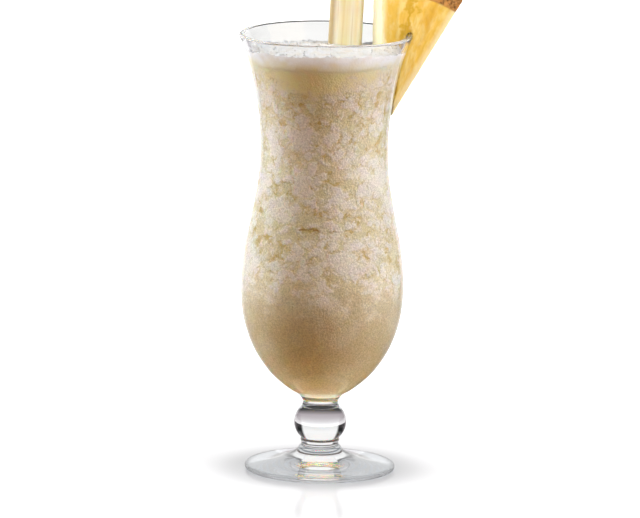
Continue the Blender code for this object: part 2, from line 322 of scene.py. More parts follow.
drink = {
    "reach": 0.2 * mm,  # how far the drink reaches into the wall
    "liquidTop": 82 * mm,
    "liquidWave": 3.0 * mm,
    "liquidWaveLength": 24 * mm,
    "slushTop": 193.4 * mm,
    "slushWave": 0.6 * mm,
    "slushWaveLength": 12 * mm,
    "overlap": 4.0 * mm,  # how far each layer reaches into the one below
    "tuck": 0.8 * mm,
    "tuckHeight": 3.5 * mm,
}


def liquidTop(x, y):
    spot = Vector((x, y, 0)) / drink["liquidWaveLength"] + Vector((3.1, 0.4, 0))
    return drink["liquidTop"] + drink["liquidWave"] * noise.noise(spot)


def slushTop(x, y):
    spot = Vector((x, y, 0)) / drink["slushWaveLength"]
    return drink["slushTop"] + drink["slushWave"] * noise.noise(spot)


def pouredLayer(name, floor, top, layer, reach, tuck=0.0):
    # a layer between two surfaces: rings over its top, down the bowl's wall and under it. Its lowest
    # millimetres lean inwards by the tuck, so that it sinks behind the layer below without an edge.
    segments = layer["segments"]
    topRings, wallRings, floorRings = layer["rings"]
    rings = topRings + wallRings + floorRings
    lowest = max(floor(0, 0), glass["cornerHeight"])
    edges = {}
    radii = {}

    def wallAt(height):
        # the wall's radius, kept for heights 0.005 mm apart
        key = round(height / (0.005 * mm))
        if key not in radii:
            radii[key] = innerRadius(height, -reach)
        return radii[key]

    def edgesAt(turn):
        # heights and radii at which the layer's top and floor meet the wall
        if turn not in edges:
            outward = Vector((math.cos(turn), math.sin(turn)))
            high = top(*outward * innerRadius(top(0, 0), -reach))
            low = floor(*outward * innerRadius(lowest, -reach))
            edges[turn] = (high, wallAt(high), low, wallAt(low))
        return edges[turn]

    def place(ring, turn):
        turn = round(turn * segments / math.tau) * math.tau / segments
        outward = Vector((math.cos(turn), math.sin(turn)))
        high, wideHigh, low, wideLow = edgesAt(turn)
        if ring < topRings:
            spot = outward * wideHigh * ring / topRings
            return Vector((*spot, top(*spot)))
        if ring > topRings + wallRings:
            spot = outward * (wideLow - tuck) * (rings - ring) / floorRings
            return Vector((*spot, floor(*spot)))
        height = high + (low - high) * (ring - topRings) / wallRings
        lean = tuck * max(0, 1 - (height - low) / drink["tuckHeight"]) ** 2
        return Vector((*(outward * (wallAt(height) - lean)), height))

    return laidBall(name, segments, rings, place)


# Settled liquid at the bottom

liquid = {
    "colour": "#d8c89e",
    "cloudColour": "#e0d4b2",
    # painted light: the underside's middle is paler, standing in for the light from below
    "paintedUndersideLight": "#f8f5ec",
    "paintedLightRadius": 11 * mm,
    "paintedLightEdge": 3 * mm,
    "cloudSize": 16.0,  # mm
    "pulpSize": 1.6,  # mm
    "segments": 160,
    "rings": (12, 70, 16),  # over its top, down the wall and under it
}


def addLiquidColour(tree, place):
    # slow clouds and fine pulp
    clouds = addNode(tree, "ShaderNodeTexNoise", {"Vector": place, "Scale": 1 / (liquid["cloudSize"] * mm),
                                                  "Detail": 3.0, "Distortion": 0.6}).outputs[0]
    pulp = addNode(tree, "ShaderNodeTexNoise", {"Vector": place, "Scale": 1 / (liquid["pulpSize"] * mm),
                                                "Detail": 3.0}).outputs[0]
    both = addNode(tree, "ShaderNodeMath", {0: pulp, 1: 0.35, 2: clouds}, operation="MULTIPLY_ADD").outputs[0]
    share = addNode(tree, "ShaderNodeMapRange", {"Value": both, "From Min": 0.5, "From Max": 0.9},
                    interpolation_type="SMOOTHSTEP").outputs[0]
    return addNode(tree, "ShaderNodeMix", {0: share, 6: linearColour(liquid["colour"]),
                                           7: linearColour(liquid["cloudColour"])},
                   data_type="RGBA").outputs[2]


def makeSettledLiquid():
    # Coconut and pineapple juice, blended: an opaque emulsion. Its top still holds some of the ice,
    # so the slush passes into it without an edge. The middle of its underside is painted paler:
    # painted light that stands in for the light which gets in from below.
    made, tree = newMaterial("blendedCoconutJuice")
    place = addNode(tree, "ShaderNodeTexCoord").outputs["Object"]
    pattern = addSlushPattern(tree, place)
    colour = addDrinkColour(tree, place, pattern)
    flat = addNode(tree, "ShaderNodeVectorMath", {0: place, 1: (1, 1, 0)}, operation="MULTIPLY").outputs[0]
    radius = addNode(tree, "ShaderNodeVectorMath", {0: flat}, operation="LENGTH").outputs["Value"]
    # painted light: the middle of the underside is paler, for the light that gets in from below
    paintedLightShare = addNode(tree, "ShaderNodeMapRange", {"Value": radius, "From Min": liquid["paintedLightRadius"],
                                                 "From Max": liquid["paintedLightRadius"] - liquid["paintedLightEdge"]},
                    interpolation_type="SMOOTHSTEP").outputs[0]
    colour = addNode(tree, "ShaderNodeMix", {0: paintedLightShare, 6: colour, 7: linearColour(liquid["paintedUndersideLight"])},
                     data_type="RGBA").outputs[2]
    addDrinkShader(tree, colour, pattern["grain"])
    return made


def makeLiquid():
    reach = drink["reach"]

    def floor(x, y):
        return bowlFloor(math.hypot(x, y), -reach)

    piece = pouredLayer("settledLiquid", floor, liquidTop, liquid, reach)
    dress(piece, "liquid", makeSettledLiquid())


# Icy slush

slush = {
    "iceColour": "#f5eee0",
    "creamColour": "#e8deb8",
    "amberColour": "#cfb66c",
    "syrupColour": "#f4eab6",  # the smooth slush just under the froth
    "foamyColour": "#f0f6e8",  # its top, mixed with froth
    "crackColour": "#b39462",
    "smoothShade": 0.97,  # the smooth slush's shade, where the rest has its grain
    "grainDark": 0.74,
    "grainLight": 1.12,
    "patchSize": 11.0,  # mm between icy patches
    "patchStretch": 0.85,  # their height against their width
    "lumpSize": 6.0,  # mm across the lumps that they are made of
    "bendSize": 5.0,  # mm, how often their edges bend
    "bend": 6.0,  # mm, how far they bend
    "crumbleSize": 2.0,  # mm, how often small crumbs break the edges
    "crumble": 2.2,  # mm, how far
    "iceStart": 0.78,  # lower values give more ice
    "iceFull": 1.04,
    "syrupSize": 5.0,  # mm across the amber stains between the patches
    "syrupShare": 0.8,
    "areaSize": 24.0,  # mm between icy and syrupy areas
    "grainSize": 0.75,  # mm
    "crackHeight": 117.5,  # mm, where the slush has settled and cracked, at the front
    "crackSpread": 2.6,  # mm, half the space between two cracks
    "crackWave": 7.0,  # mm, how far they bend up and down
    "crackMiddle": -2.0,  # mm to the right
    "smoothAbove": 179.0,  # mm, no patches above this height at the front
    "smoothMiddle": -6.0,  # mm to the right: to both sides of it the patches reach higher
    "smoothSlope": 0.5,
    "smoothBelow": 84.0,  # mm, no patches below this height
    "relief": 0.22 * mm,
    "grainRelief": 0.16 * mm,
    "grainBump": 0.25 * mm,
    "scatter": (1.0, 0.62, 0.32),  # how far red, green and blue light spread, against the depth
    "scatterDepth": 0.5 * mm,
    "segments": 384,
    "rings": (8, 230, 8),
}


def addSlushPattern(tree, place):
    # The same nodes shape the mesh and colour it, so that pale ice stands proud of the veins.
    # They give shares from 0 to 1.
    spot = addNode(tree, "ShaderNodeVectorMath", {0: place, "Scale": 1 / mm}, operation="SCALE").outputs[0]
    drift = addNode(tree, "ShaderNodeTexNoise", {"Vector": spot, "Scale": 1 / slush["bendSize"],
                                                 "Detail": 2.0, "Roughness": 0.6}).outputs["Color"]
    crumble = addNode(tree, "ShaderNodeTexNoise", {"Vector": spot, "Scale": 1 / slush["crumbleSize"],
                                                   "Detail": 2.0, "Roughness": 0.6}).outputs["Color"]
    bent = addNode(tree, "ShaderNodeVectorMath", {0: drift, 1: (slush["bend"],) * 3, 2: spot},
                   operation="MULTIPLY_ADD").outputs[0]
    bent = addNode(tree, "ShaderNodeVectorMath", {0: crumble, 1: (slush["crumble"],) * 3, 2: bent},
                   operation="MULTIPLY_ADD").outputs[0]
    bent = addNode(tree, "ShaderNodeVectorMath", {0: bent, 1: (1, 1, 1 / slush["patchStretch"])},
                   operation="MULTIPLY").outputs[0]
    area = addNode(tree, "ShaderNodeTexNoise", {"Vector": spot, "Scale": 1 / slush["areaSize"],
                                                "Detail": 2.0}).outputs[0]
    patches = addNode(tree, "ShaderNodeTexNoise", {"Vector": bent, "Scale": 1 / slush["patchSize"],
                                                   "Detail": 3.0, "Roughness": 0.6}).outputs[0]
    lumps = addNode(tree, "ShaderNodeTexVoronoi", {"Vector": bent, "Scale": 1 / slush["lumpSize"]},
                    feature="DISTANCE_TO_EDGE").outputs["Distance"]
    grain = addNode(tree, "ShaderNodeTexNoise", {"Vector": spot, "Scale": 1 / slush["grainSize"],
                                                 "Detail": 3.0, "Roughness": 0.65}).outputs[0]
    # ice: cloudy patches made of lumps, with thin veins between them, and more of it in icy areas
    ice = addNode(tree, "ShaderNodeMath", {0: lumps, 1: 0.75, 2: patches},
                  operation="MULTIPLY_ADD").outputs[0]
    ice = addNode(tree, "ShaderNodeMath", {0: area, 1: 0.5, 2: ice}, operation="MULTIPLY_ADD").outputs[0]
    ice = addNode(tree, "ShaderNodeMath", {0: grain, 1: 0.16, 2: ice}, operation="MULTIPLY_ADD").outputs[0]
    ice = addNode(tree, "ShaderNodeMapRange", {"Value": ice, "From Min": slush["iceStart"],
                                               "From Max": slush["iceFull"]},
                  interpolation_type="SMOOTHSTEP").outputs[0]
    # no patches just under the froth, nor in the liquid; the edges of both are ragged
    across, depth, height = addNode(tree, "ShaderNodeSeparateXYZ", {0: spot}).outputs
    upper = addNode(tree, "ShaderNodeMath", {0: patches, 1: 36.0, 2: height},
                    operation="MULTIPLY_ADD").outputs[0]
    upper = addNode(tree, "ShaderNodeMath", {0: grain, 1: 10.0, 2: upper},
                    operation="MULTIPLY_ADD").outputs[0]
    aside = distanceTo(tree, across, slush["smoothMiddle"])
    upper = addNode(tree, "ShaderNodeMath", {0: aside, 1: -slush["smoothSlope"], 2: upper},
                    operation="MULTIPLY_ADD").outputs[0]
    upper = addNode(tree, "ShaderNodeMapRange", {
        "Value": upper, "From Min": slush["smoothAbove"] + 30, "From Max": slush["smoothAbove"] + 14},
        interpolation_type="SMOOTHSTEP").outputs[0]
    lower = addNode(tree, "ShaderNodeMath", {0: patches, 1: 44.0, 2: height},
                    operation="MULTIPLY_ADD").outputs[0]
    lower = addNode(tree, "ShaderNodeMapRange", {
        "Value": lower, "From Min": slush["smoothBelow"] + 14, "From Max": slush["smoothBelow"] + 34},
        interpolation_type="SMOOTHSTEP").outputs[0]
    inside = addNode(tree, "ShaderNodeMath", {0: upper, 1: lower}, operation="MULTIPLY").outputs[0]
    ice = addNode(tree, "ShaderNodeMath", {0: ice, 1: inside}, operation="MULTIPLY").outputs[0]
    # syrup stains some of the veins
    stains = addNode(tree, "ShaderNodeTexNoise", {"Vector": bent, "Scale": 1 / slush["syrupSize"],
                                                  "Detail": 2.0}).outputs[0]
    amber = addNode(tree, "ShaderNodeMapRange", {"Value": stains, "From Min": 0.48, "From Max": 0.68,
                                                 "To Max": slush["syrupShare"]},
                    interpolation_type="SMOOTHSTEP").outputs[0]
    amber = addNode(tree, "ShaderNodeMath", {0: amber, 1: inside}, operation="MULTIPLY").outputs[0]
    # a few thin level cracks at the front
    wavy = addNode(tree, "ShaderNodeMath", {0: patches, 1: slush["crackWave"], 2: height},
                   operation="MULTIPLY_ADD").outputs[0]
    wavy = addNode(tree, "ShaderNodeMath", {0: wavy, 1: slush["crackHeight"] + slush["crackWave"] / 2},
                   operation="SUBTRACT").outputs[0]
    near = addNode(tree, "ShaderNodeMath", {0: wavy, 1: slush["crackSpread"]},
                   operation="PINGPONG").outputs[0]
    line = addNode(tree, "ShaderNodeMapRange", {"Value": near, "From Min": 0.55, "From Max": 0.15}).outputs[0]
    off = addNode(tree, "ShaderNodeMath", {0: wavy}, operation="ABSOLUTE").outputs[0]
    level = addNode(tree, "ShaderNodeMapRange", {"Value": off, "From Min": 4.2, "From Max": 2.4}).outputs[0]
    aside = distanceTo(tree, across, slush["crackMiddle"])
    middle = addNode(tree, "ShaderNodeMapRange", {"Value": aside, "From Min": 15, "From Max": 7}).outputs[0]
    facing = addNode(tree, "ShaderNodeMath", {0: depth, 1: 0.0}, operation="LESS_THAN").outputs[0]
    broken = addNode(tree, "ShaderNodeMapRange", {"Value": stains, "From Min": 0.44,
                                                  "From Max": 0.62}).outputs[0]
    crack = line
    for share in (level, middle, facing, broken):
        crack = addNode(tree, "ShaderNodeMath", {0: crack, 1: share}, operation="MULTIPLY").outputs[0]
    return {"ice": ice, "amber": amber, "grain": grain, "lower": lower, "upper": upper, "crack": crack}


def addDrinkColour(tree, place, pattern):
    # from the smooth slush under the froth down to the liquid, with ice and cracks on top of it
    colour = linearColour(slush["syrupColour"])
    for share, name in (("upper", "creamColour"), ("amber", "amberColour")):
        colour = addNode(tree, "ShaderNodeMix", {0: pattern[share], 6: colour, 7: linearColour(slush[name])},
                         data_type="RGBA").outputs[2]
    colour = addNode(tree, "ShaderNodeMix", {0: pattern["lower"], 6: addLiquidColour(tree, place), 7: colour},
                     data_type="RGBA").outputs[2]
    for share, name in (("ice", "iceColour"), ("crack", "crackColour")):
        colour = addNode(tree, "ShaderNodeMix", {0: pattern[share], 6: colour, 7: linearColour(slush[name])},
                         data_type="RGBA").outputs[2]
    fleck = addNode(tree, "ShaderNodeMapRange", {
        "Value": pattern["grain"], "From Min": 0.33, "From Max": 0.67,
        "To Min": slush["grainDark"], "To Max": slush["grainLight"]}).outputs[0]
    fleck = addNode(tree, "ShaderNodeMix", {0: pattern["upper"], 2: slush["smoothShade"],
                                            3: fleck}).outputs[0]
    return addNode(tree, "ShaderNodeMix", {0: 1.0, 6: colour, 7: fleck}, data_type="RGBA",
                   blend_type="MULTIPLY").outputs[2]


def addDrinkShader(tree, colour, grain):
    bump = addNode(tree, "ShaderNodeBump", {"Height": grain, "Distance": slush["grainBump"]}).outputs[0]
    shader = addNode(tree, "ShaderNodeBsdfPrincipled", {
        "Base Color": colour, "Roughness": 0.5, "Specular IOR Level": 0.1, "Subsurface Weight": 1.0,
        "Subsurface Radius": slush["scatter"], "Subsurface Scale": slush["scatterDepth"], "Normal": bump})
    addNode(tree, "ShaderNodeOutputMaterial", {"Surface": shader.outputs[0]})


def makeIcySlush():
    # Crushed ice and coconut cream, blended: pale icy clumps with creamy and syrupy veins between
    made, tree = newMaterial("blendedIceAndCoconutCream")
    place = addNode(tree, "ShaderNodeTexCoord").outputs["Object"]
    pattern = addSlushPattern(tree, place)
    colour = addDrinkColour(tree, place, pattern)
    colour = addNode(tree, "ShaderNodeMix", {0: addFrothFade(tree, place), 6: colour,
                                             7: linearColour(slush["foamyColour"])},
                     data_type="RGBA").outputs[2]
    addDrinkShader(tree, colour, pattern["grain"])
    return made


def buildReliefTree():
    tree = newTree("icyRelief", {"Relief": "NodeSocketFloat", "Grain Relief": "NodeSocketFloat",
                                 "Material": "NodeSocketMaterial"})
    given = addNode(tree, "NodeGroupInput").outputs
    place = addNode(tree, "GeometryNodeInputPosition").outputs[0]
    outward = addNode(tree, "GeometryNodeInputNormal").outputs[0]
    pattern = addSlushPattern(tree, place)
    grain = addNode(tree, "ShaderNodeMath", {0: pattern["grain"], 1: 0.5}, operation="SUBTRACT").outputs[0]
    grain = addNode(tree, "ShaderNodeMath", {0: grain, 1: given["Grain Relief"]},
                    operation="MULTIPLY").outputs[0]
    height = addNode(tree, "ShaderNodeMath", {0: pattern["ice"], 1: given["Relief"], 2: grain},
                     operation="MULTIPLY_ADD").outputs[0]
    offset = addNode(tree, "ShaderNodeVectorMath", {0: outward, "Scale": height},
                     operation="SCALE").outputs[0]
    raised = addNode(tree, "GeometryNodeSetPosition", {"Geometry": given["Base"], "Offset": offset})
    real = addNode(tree, "GeometryNodeRealizeInstances", {"Geometry": raised.outputs[0]})
    finished = addNode(tree, "GeometryNodeSetMaterial", {"Geometry": real.outputs[0],
                                                         "Material": given["Material"]})
    addNode(tree, "NodeGroupOutput", {"Geometry": finished.outputs[0]})
    return tree


def makeSlush():
    def floor(x, y):
        return liquidTop(x, y) - drink["overlap"]

    piece = pouredLayer("icySlush", floor, slushTop, slush, drink["reach"], drink["tuck"])
    applyTree(piece, buildReliefTree(), {
        "Relief": slush["relief"], "Grain Relief": slush["grainRelief"], "Material": makeIcySlush()})
    dress(piece, "slush")


# Froth

froth = {
    "top": 197.5 * mm,
    "tilt": 1.8 * mm,  # how much higher it stands at the front wall, and lower at the back
    "crown": 0.8 * mm,
    "fadeBottom": 189.0 * mm,  # below this height the drink has its own colour, up to the fade's top
    "fadeTop": 198.0 * mm,  # it turns into the froth's white
    "fadeRag": 5.0 * mm,  # how ragged this fade is, from low to high
    "fadeRagSize": 5.0 * mm,
    "lump": 0.7 * mm,
    "lumpLength": 8 * mm,
    "fineLump": 0.25 * mm,
    "fineLumpLength": 1.7 * mm,
    "edgeLump": 0.5 * mm,  # extra lumps where the froth clings to the wall
    "edgeWidth": 3.0 * mm,
    "colour": "#f8f8f9",
    "shadeColour": "#f0ebe2",  # its hollows
    "hollowSize": 6 * mm,
    "foamSize": 0.9 * mm,
    "foamBump": 0.2 * mm,
    "scatterDepth": 6.0 * mm,
    "extraReach": 0.05 * mm,  # into the wall, beyond the other layers
    "segments": 448,
    "rings": (90, 18, 4),
    "bubbles": 1200,
    "bubbleSmall": 0.1 * mm,
    "bubbleLarge": 0.42 * mm,
    "seed": 7,
}
frothWall = innerRadius(froth["top"])  # the wall's radius there


def frothTop(x, y):
    radius = math.hypot(x, y)
    share = min(radius / frothWall, 1)
    spot = Vector((x, y, 0))
    broad = noise.noise(spot / froth["lumpLength"])
    broad += 0.5 * noise.noise(spot * 2 / froth["lumpLength"] + Vector((0, 0, 1)))
    fine = noise.noise(spot / froth["fineLumpLength"] + Vector((0, 0, 4)))
    fine += 0.6 * noise.noise(spot * 2.3 / froth["fineLumpLength"] + Vector((0, 0, 9)))
    edge = max(0, 1 - (frothWall - radius) / froth["edgeWidth"])
    height = froth["top"] - froth["tilt"] * y / frothWall
    height += froth["crown"] * (1 - share**2) + froth["lump"] * broad
    return height + froth["fineLump"] * fine + froth["edgeLump"] * edge * (0.6 + fine)


def addFrothFade(tree, place):
    # how white the drink is against the wall, with a ragged edge: the slush and the froth share it
    ragged = addNode(tree, "ShaderNodeTexNoise", {"Vector": place, "Scale": 1 / froth["fadeRagSize"],
                                                  "Detail": 3.0, "Roughness": 0.6}).outputs[0]
    height = addNode(tree, "ShaderNodeSeparateXYZ", {0: place}).outputs[2]
    height = addNode(tree, "ShaderNodeMath", {0: ragged, 1: froth["fadeRag"], 2: height},
                     operation="MULTIPLY_ADD").outputs[0]
    half = froth["fadeRag"] / 2
    return addNode(tree, "ShaderNodeMapRange", {
        "Value": height, "From Min": froth["fadeBottom"] + half, "From Max": froth["fadeTop"] + half},
        interpolation_type="SMOOTHSTEP").outputs[0]


def makeWhiteFroth():
    # Whipped coconut cream froth: fine white bubbles, wet, with hollows where the drink shows through
    made, tree = newMaterial("whippedCoconutFroth")
    place = addNode(tree, "ShaderNodeTexCoord").outputs["Object"]
    hollows = addNode(tree, "ShaderNodeTexNoise", {"Vector": place, "Scale": 1 / froth["hollowSize"],
                                                   "Detail": 4.0}).outputs[0]
    foam = addNode(tree, "ShaderNodeTexVoronoi", {"Vector": place, "Scale": 1 / froth["foamSize"]},
                   feature="SMOOTH_F1").outputs["Distance"]
    share = addNode(tree, "ShaderNodeMapRange", {"Value": hollows, "From Min": 0.42, "From Max": 0.68},
                    interpolation_type="SMOOTHSTEP").outputs[0]
    colour = addNode(tree, "ShaderNodeMix", {0: share, 6: linearColour(froth["colour"]),
                                             7: linearColour(froth["shadeColour"])},
                     data_type="RGBA").outputs[2]
    # on the top surface it is white all over, and the lowest millimetres blend into the slush
    up = addNode(tree, "ShaderNodeSeparateXYZ", {0: addNode(tree, "ShaderNodeNewGeometry").outputs["Normal"]})
    facesUp = addNode(tree, "ShaderNodeMapRange", {"Value": up.outputs[2], "From Min": 0.3,
                                                   "From Max": 0.6}).outputs[0]
    white = addNode(tree, "ShaderNodeMath", {0: addFrothFade(tree, place), 1: facesUp},
                    operation="MAXIMUM").outputs[0]
    colour = addNode(tree, "ShaderNodeMix", {0: white, 6: linearColour(slush["syrupColour"]), 7: colour},
                     data_type="RGBA").outputs[2]
    bump = addNode(tree, "ShaderNodeBump", {"Height": foam, "Distance": froth["foamBump"],
                                            "Strength": 0.6}).outputs[0]
    shader = addNode(tree, "ShaderNodeBsdfPrincipled", {
        "Base Color": colour, "Roughness": 0.35, "Specular IOR Level": 0.3, "Subsurface Weight": 1.0,
        "Subsurface Radius": (1.0, 0.95, 0.9), "Subsurface Scale": froth["scatterDepth"], "Normal": bump})
    addNode(tree, "ShaderNodeOutputMaterial", {"Surface": shader.outputs[0]})
    return made


def buildBubbleTree():
    tree = newTree("frothBubbles", {
        "Count": "NodeSocketFloat", "Smallest": "NodeSocketFloat", "Largest": "NodeSocketFloat",
        "Seed": "NodeSocketInt", "Material": "NodeSocketMaterial"})
    given = addNode(tree, "NodeGroupInput").outputs
    up = addNode(tree, "ShaderNodeSeparateXYZ", {0: addNode(tree, "GeometryNodeInputNormal").outputs[0]})
    facesUp = addNode(tree, "FunctionNodeCompare", {0: up.outputs[2], 1: 0.4}, operation="GREATER_THAN")
    density = addNode(tree, "ShaderNodeMath", {0: given["Count"], 1: math.pi * frothWall**2},
                      operation="DIVIDE").outputs[0]
    points = addNode(tree, "GeometryNodeDistributePointsOnFaces", {
        "Mesh": given["Base"], "Selection": facesUp.outputs[0], "Density": density, "Seed": given["Seed"]})
    ball = addNode(tree, "GeometryNodeMeshUVSphere", {"Segments": 8, "Rings": 5, "Radius": 1.0})
    ball = addNode(tree, "GeometryNodeSetShadeSmooth", {"Geometry": ball.outputs["Mesh"]})
    chance = addNode(tree, "FunctionNodeRandomValue", {2: 0.0, 3: 1.0, "Seed": given["Seed"]}).outputs[1]
    chance = addNode(tree, "ShaderNodeMath", {0: chance, 1: 3.0}, operation="POWER").outputs[0]
    size = addNode(tree, "ShaderNodeMapRange", {"Value": chance, "To Min": given["Smallest"],
                                                "To Max": given["Largest"]}).outputs[0]
    placed = addNode(tree, "GeometryNodeInstanceOnPoints", {
        "Points": points.outputs["Points"], "Instance": ball.outputs[0], "Scale": size})
    real = addNode(tree, "GeometryNodeRealizeInstances", {"Geometry": placed.outputs[0]})
    finished = addNode(tree, "GeometryNodeSetMaterial", {"Geometry": real.outputs[0],
                                                         "Material": given["Material"]})
    addNode(tree, "NodeGroupOutput", {"Geometry": finished.outputs[0]})
    return tree


def makeFroth():
    def floor(x, y):
        return slushTop(x, y) - drink["overlap"]

    finish = makeWhiteFroth()
    reach = drink["reach"] + froth["extraReach"]
    piece = pouredLayer("whiteFroth", floor, frothTop, froth, reach, drink["tuck"])
    bubbles = newObject("frothBubbles", piece.data.copy())
    applyTree(bubbles, buildBubbleTree(), {
        "Count": float(froth["bubbles"]), "Smallest": froth["bubbleSmall"], "Largest": froth["bubbleLarge"],
        "Seed": froth["seed"], "Material": finish})
    dress(piece, "froth", finish)
    dress(bubbles, "froth")


# Cane stick

cane = {
    "foot": Vector((2.5, 2.5, 45.5)) * mm,
    "lean": Vector((0.042, 0.112, 1.0)),
    "length": 195.85 * mm,
    "widthLow": 14.2 * mm,
    "widthHigh": 16.2 * mm,
    "depthShare": 0.82,
    "squareness": 3.4,
    "fibreSpacing": 1.1 * mm,
    "fibreLength": 45 * mm,
    "fibreDepth": 0.16 * mm,
    "cutRelief": 0.25 * mm,  # of the rough cut ends
    "cutReliefSize": 0.9 * mm,
    "fineGrain": 0.9 * mm,  # between the drawn fibres, across them
    "broadGrain": 3.4 * mm,
    "grainStretch": 0.02,  # how little the drawn fibres change along the stick, against across it
    "grainBump": 0.15 * mm,
    "paleColour": "#faf6e2",
    "strawColour": "#f1e4b4",
    "dullColour": "#d8c594",
    "paintedShadeColour": "#b9a478",  # painted shade: darker tan along the stick's left side, standing in for the shade that falls there
    "paintedShadeStart": -3.6 * mm,  # across the stick
    "paintedShadeFull": -6.8 * mm,
    "segments": 144,
    "sideRings": 150,
    "capRings": 10,
}


def placeCane(ring, turn):
    capRings = cane["capRings"]
    sideRings = cane["sideRings"]
    rings = sideRings + 2 * capRings
    along = min(max(ring - capRings, 0), sideRings) / sideRings
    height = cane["length"] * (1 - along)
    inward = min(ring, rings - ring, capRings) / capRings
    width = cane["widthLow"] + (cane["widthHigh"] - cane["widthLow"]) * height / cane["length"]
    power = 2 / cane["squareness"]
    x = math.copysign(abs(math.cos(turn)) ** power, math.cos(turn)) * width / 2
    y = math.copysign(abs(math.sin(turn)) ** power, math.sin(turn)) * width / 2 * cane["depthShare"]
    fibre = noise.noise(Vector((x / cane["fibreSpacing"], y / cane["fibreSpacing"],
                                height / cane["fibreLength"])))
    sunk = cane["fibreDepth"] * (0.6 + fibre) * (1 if 0 < along < 1 else 1.8)
    spot = Vector((x, y, 0)) * (1 - sunk / (width / 2)) * inward
    ends = noise.noise(spot / cane["cutReliefSize"]) * cane["cutRelief"] * inward * (1 - inward) * 4
    return Vector((spot.x, spot.y, height + (ends if along in (0, 1) else 0)))


def makePeeledCane():
    # Sugar cane, peeled and split: straw-coloured, with pale and dull fibres running along it
    made, tree = newMaterial("peeledSugarCane")
    place = addNode(tree, "ShaderNodeTexCoord").outputs["Object"]
    turn = Vector((0, 0, 1)).rotation_difference(cane["lean"]).to_euler()
    local = addNode(tree, "ShaderNodeMapping", {"Vector": place, "Location": cane["foot"], "Rotation": turn},
                    vector_type="TEXTURE").outputs[0]
    stretched = addNode(tree, "ShaderNodeVectorMath", {0: local, 1: (1.0, 1.0, cane["grainStretch"])},
                        operation="MULTIPLY").outputs[0]
    fine = addNode(tree, "ShaderNodeTexNoise", {"Vector": stretched, "Scale": 1 / cane["fineGrain"],
                                                "Detail": 3.0, "Roughness": 0.6}).outputs[0]
    broad = addNode(tree, "ShaderNodeTexNoise", {"Vector": stretched, "Scale": 1 / cane["broadGrain"],
                                                 "Detail": 2.0}).outputs[0]
    pale = addNode(tree, "ShaderNodeMapRange", {"Value": broad, "From Min": 0.35, "From Max": 0.62},
                   interpolation_type="SMOOTHSTEP").outputs[0]
    colour = addNode(tree, "ShaderNodeMix", {0: pale, 6: linearColour(cane["strawColour"]),
                                             7: linearColour(cane["paleColour"])},
                     data_type="RGBA").outputs[2]
    dull = addNode(tree, "ShaderNodeMapRange", {"Value": fine, "From Min": 0.52, "From Max": 0.7,
                                                "To Max": 0.6}, interpolation_type="SMOOTHSTEP").outputs[0]
    colour = addNode(tree, "ShaderNodeMix", {0: dull, 6: colour, 7: linearColour(cane["dullColour"])},
                     data_type="RGBA").outputs[2]
    # painted shade: the stick's left side is made darker tan, standing in for the shade that falls on it
    across = addNode(tree, "ShaderNodeSeparateXYZ", {0: local}).outputs[0]
    skin = addNode(tree, "ShaderNodeMapRange", {"Value": across, "From Min": cane["paintedShadeStart"],
                                                "From Max": cane["paintedShadeFull"]},
                   interpolation_type="SMOOTHSTEP").outputs[0]
    colour = addNode(tree, "ShaderNodeMix", {0: skin, 6: colour, 7: linearColour(cane["paintedShadeColour"])},
                     data_type="RGBA").outputs[2]
    bump = addNode(tree, "ShaderNodeBump", {"Height": fine, "Distance": cane["grainBump"],
                                            "Strength": 0.7}).outputs[0]
    shader = addNode(tree, "ShaderNodeBsdfPrincipled", {
        "Base Color": colour, "Roughness": 0.5, "Specular IOR Level": 0.35, "Subsurface Weight": 0.6,
        "Subsurface Radius": (1.0, 0.7, 0.35), "Subsurface Scale": 1.5 * mm, "Normal": bump})
    addNode(tree, "ShaderNodeOutputMaterial", {"Surface": shader.outputs[0]})
    return made


def makeCane():
    rings = cane["sideRings"] + 2 * cane["capRings"]
    piece = laidBall("peeledCane", cane["segments"], rings, placeCane)
    turn = Vector((0, 0, 1)).rotation_difference(cane["lean"]).to_matrix().to_4x4()
    piece.data.transform(Matrix.Translation(cane["foot"]) @ turn)
    dress(piece, "cane_stick", makePeeledCane())


# Pineapple wedge

wedge = {
    "turn": math.radians(17),
    "angle": math.radians(32.5),
    "thickness": 15 * mm,
    "radius": 71.5 * mm,
    "pointRadius": 1.2 * mm,
    "pointReach": 24.7 * mm,
    "pointHeight": 157.7 * mm,
    "edgeRadius": 0.8 * mm,
    "slitBottom": 150 * mm,
    "slitGap": 0.12 * mm,
    "cuts": 30,
    "voxel": 0.5 * mm,
    "eyeSpacing": 21 * mm,
    "eyeRowSpacing": 16 * mm,
    "eyeRowShift": 3 * mm,
    "eyeRelief": 2.2 * mm,
    "rindDepth": 5.0 * mm,
    "fibreSpacing": 2.0,  # mm at half the radius
    "fibreStretch": 0.28,
    "fibreRelief": 0.18 * mm,
    "fibreBump": 0.35 * mm,
    "deepSpacing": 4.2,  # mm between the deeper coloured streaks
    "edgeStrip": 4.4,  # mm, pale strip along the right edge
    "paintedFaceLightStart": 5.4,  # mm from the cut face at the left, with the fibres' share in it, over which its painted light fades
    "paintedFaceLightFull": 2.4,
    "veinAngle": math.radians(13.5),  # from the left face to the juicy vein near the rind
    "veinWander": 0.3,
    "veinWanderSize": 5.0,  # mm
    "veinStart": 38,  # mm from the wedge's point
    "veinFull": 50,
    "scaleSize": 3.0,  # mm between the rind's scales
    "scaleRag": 2.4,  # mm, how ragged they leave the rind's edge
    "creamColour": "#efe8c6",  # painted light: the narrow cut face at the left, made paler for the light from the left on it
    "stripColour": "#e0d2a2",
    "paleColour": "#e0d08a",
    "goldColour": "#d9b446",
    "amberColour": "#ca9c22",
    "veinColour": "#c49c0a",
    "rindColour": "#c08c4c",
    "rindDarkColour": "#3c2410",
}


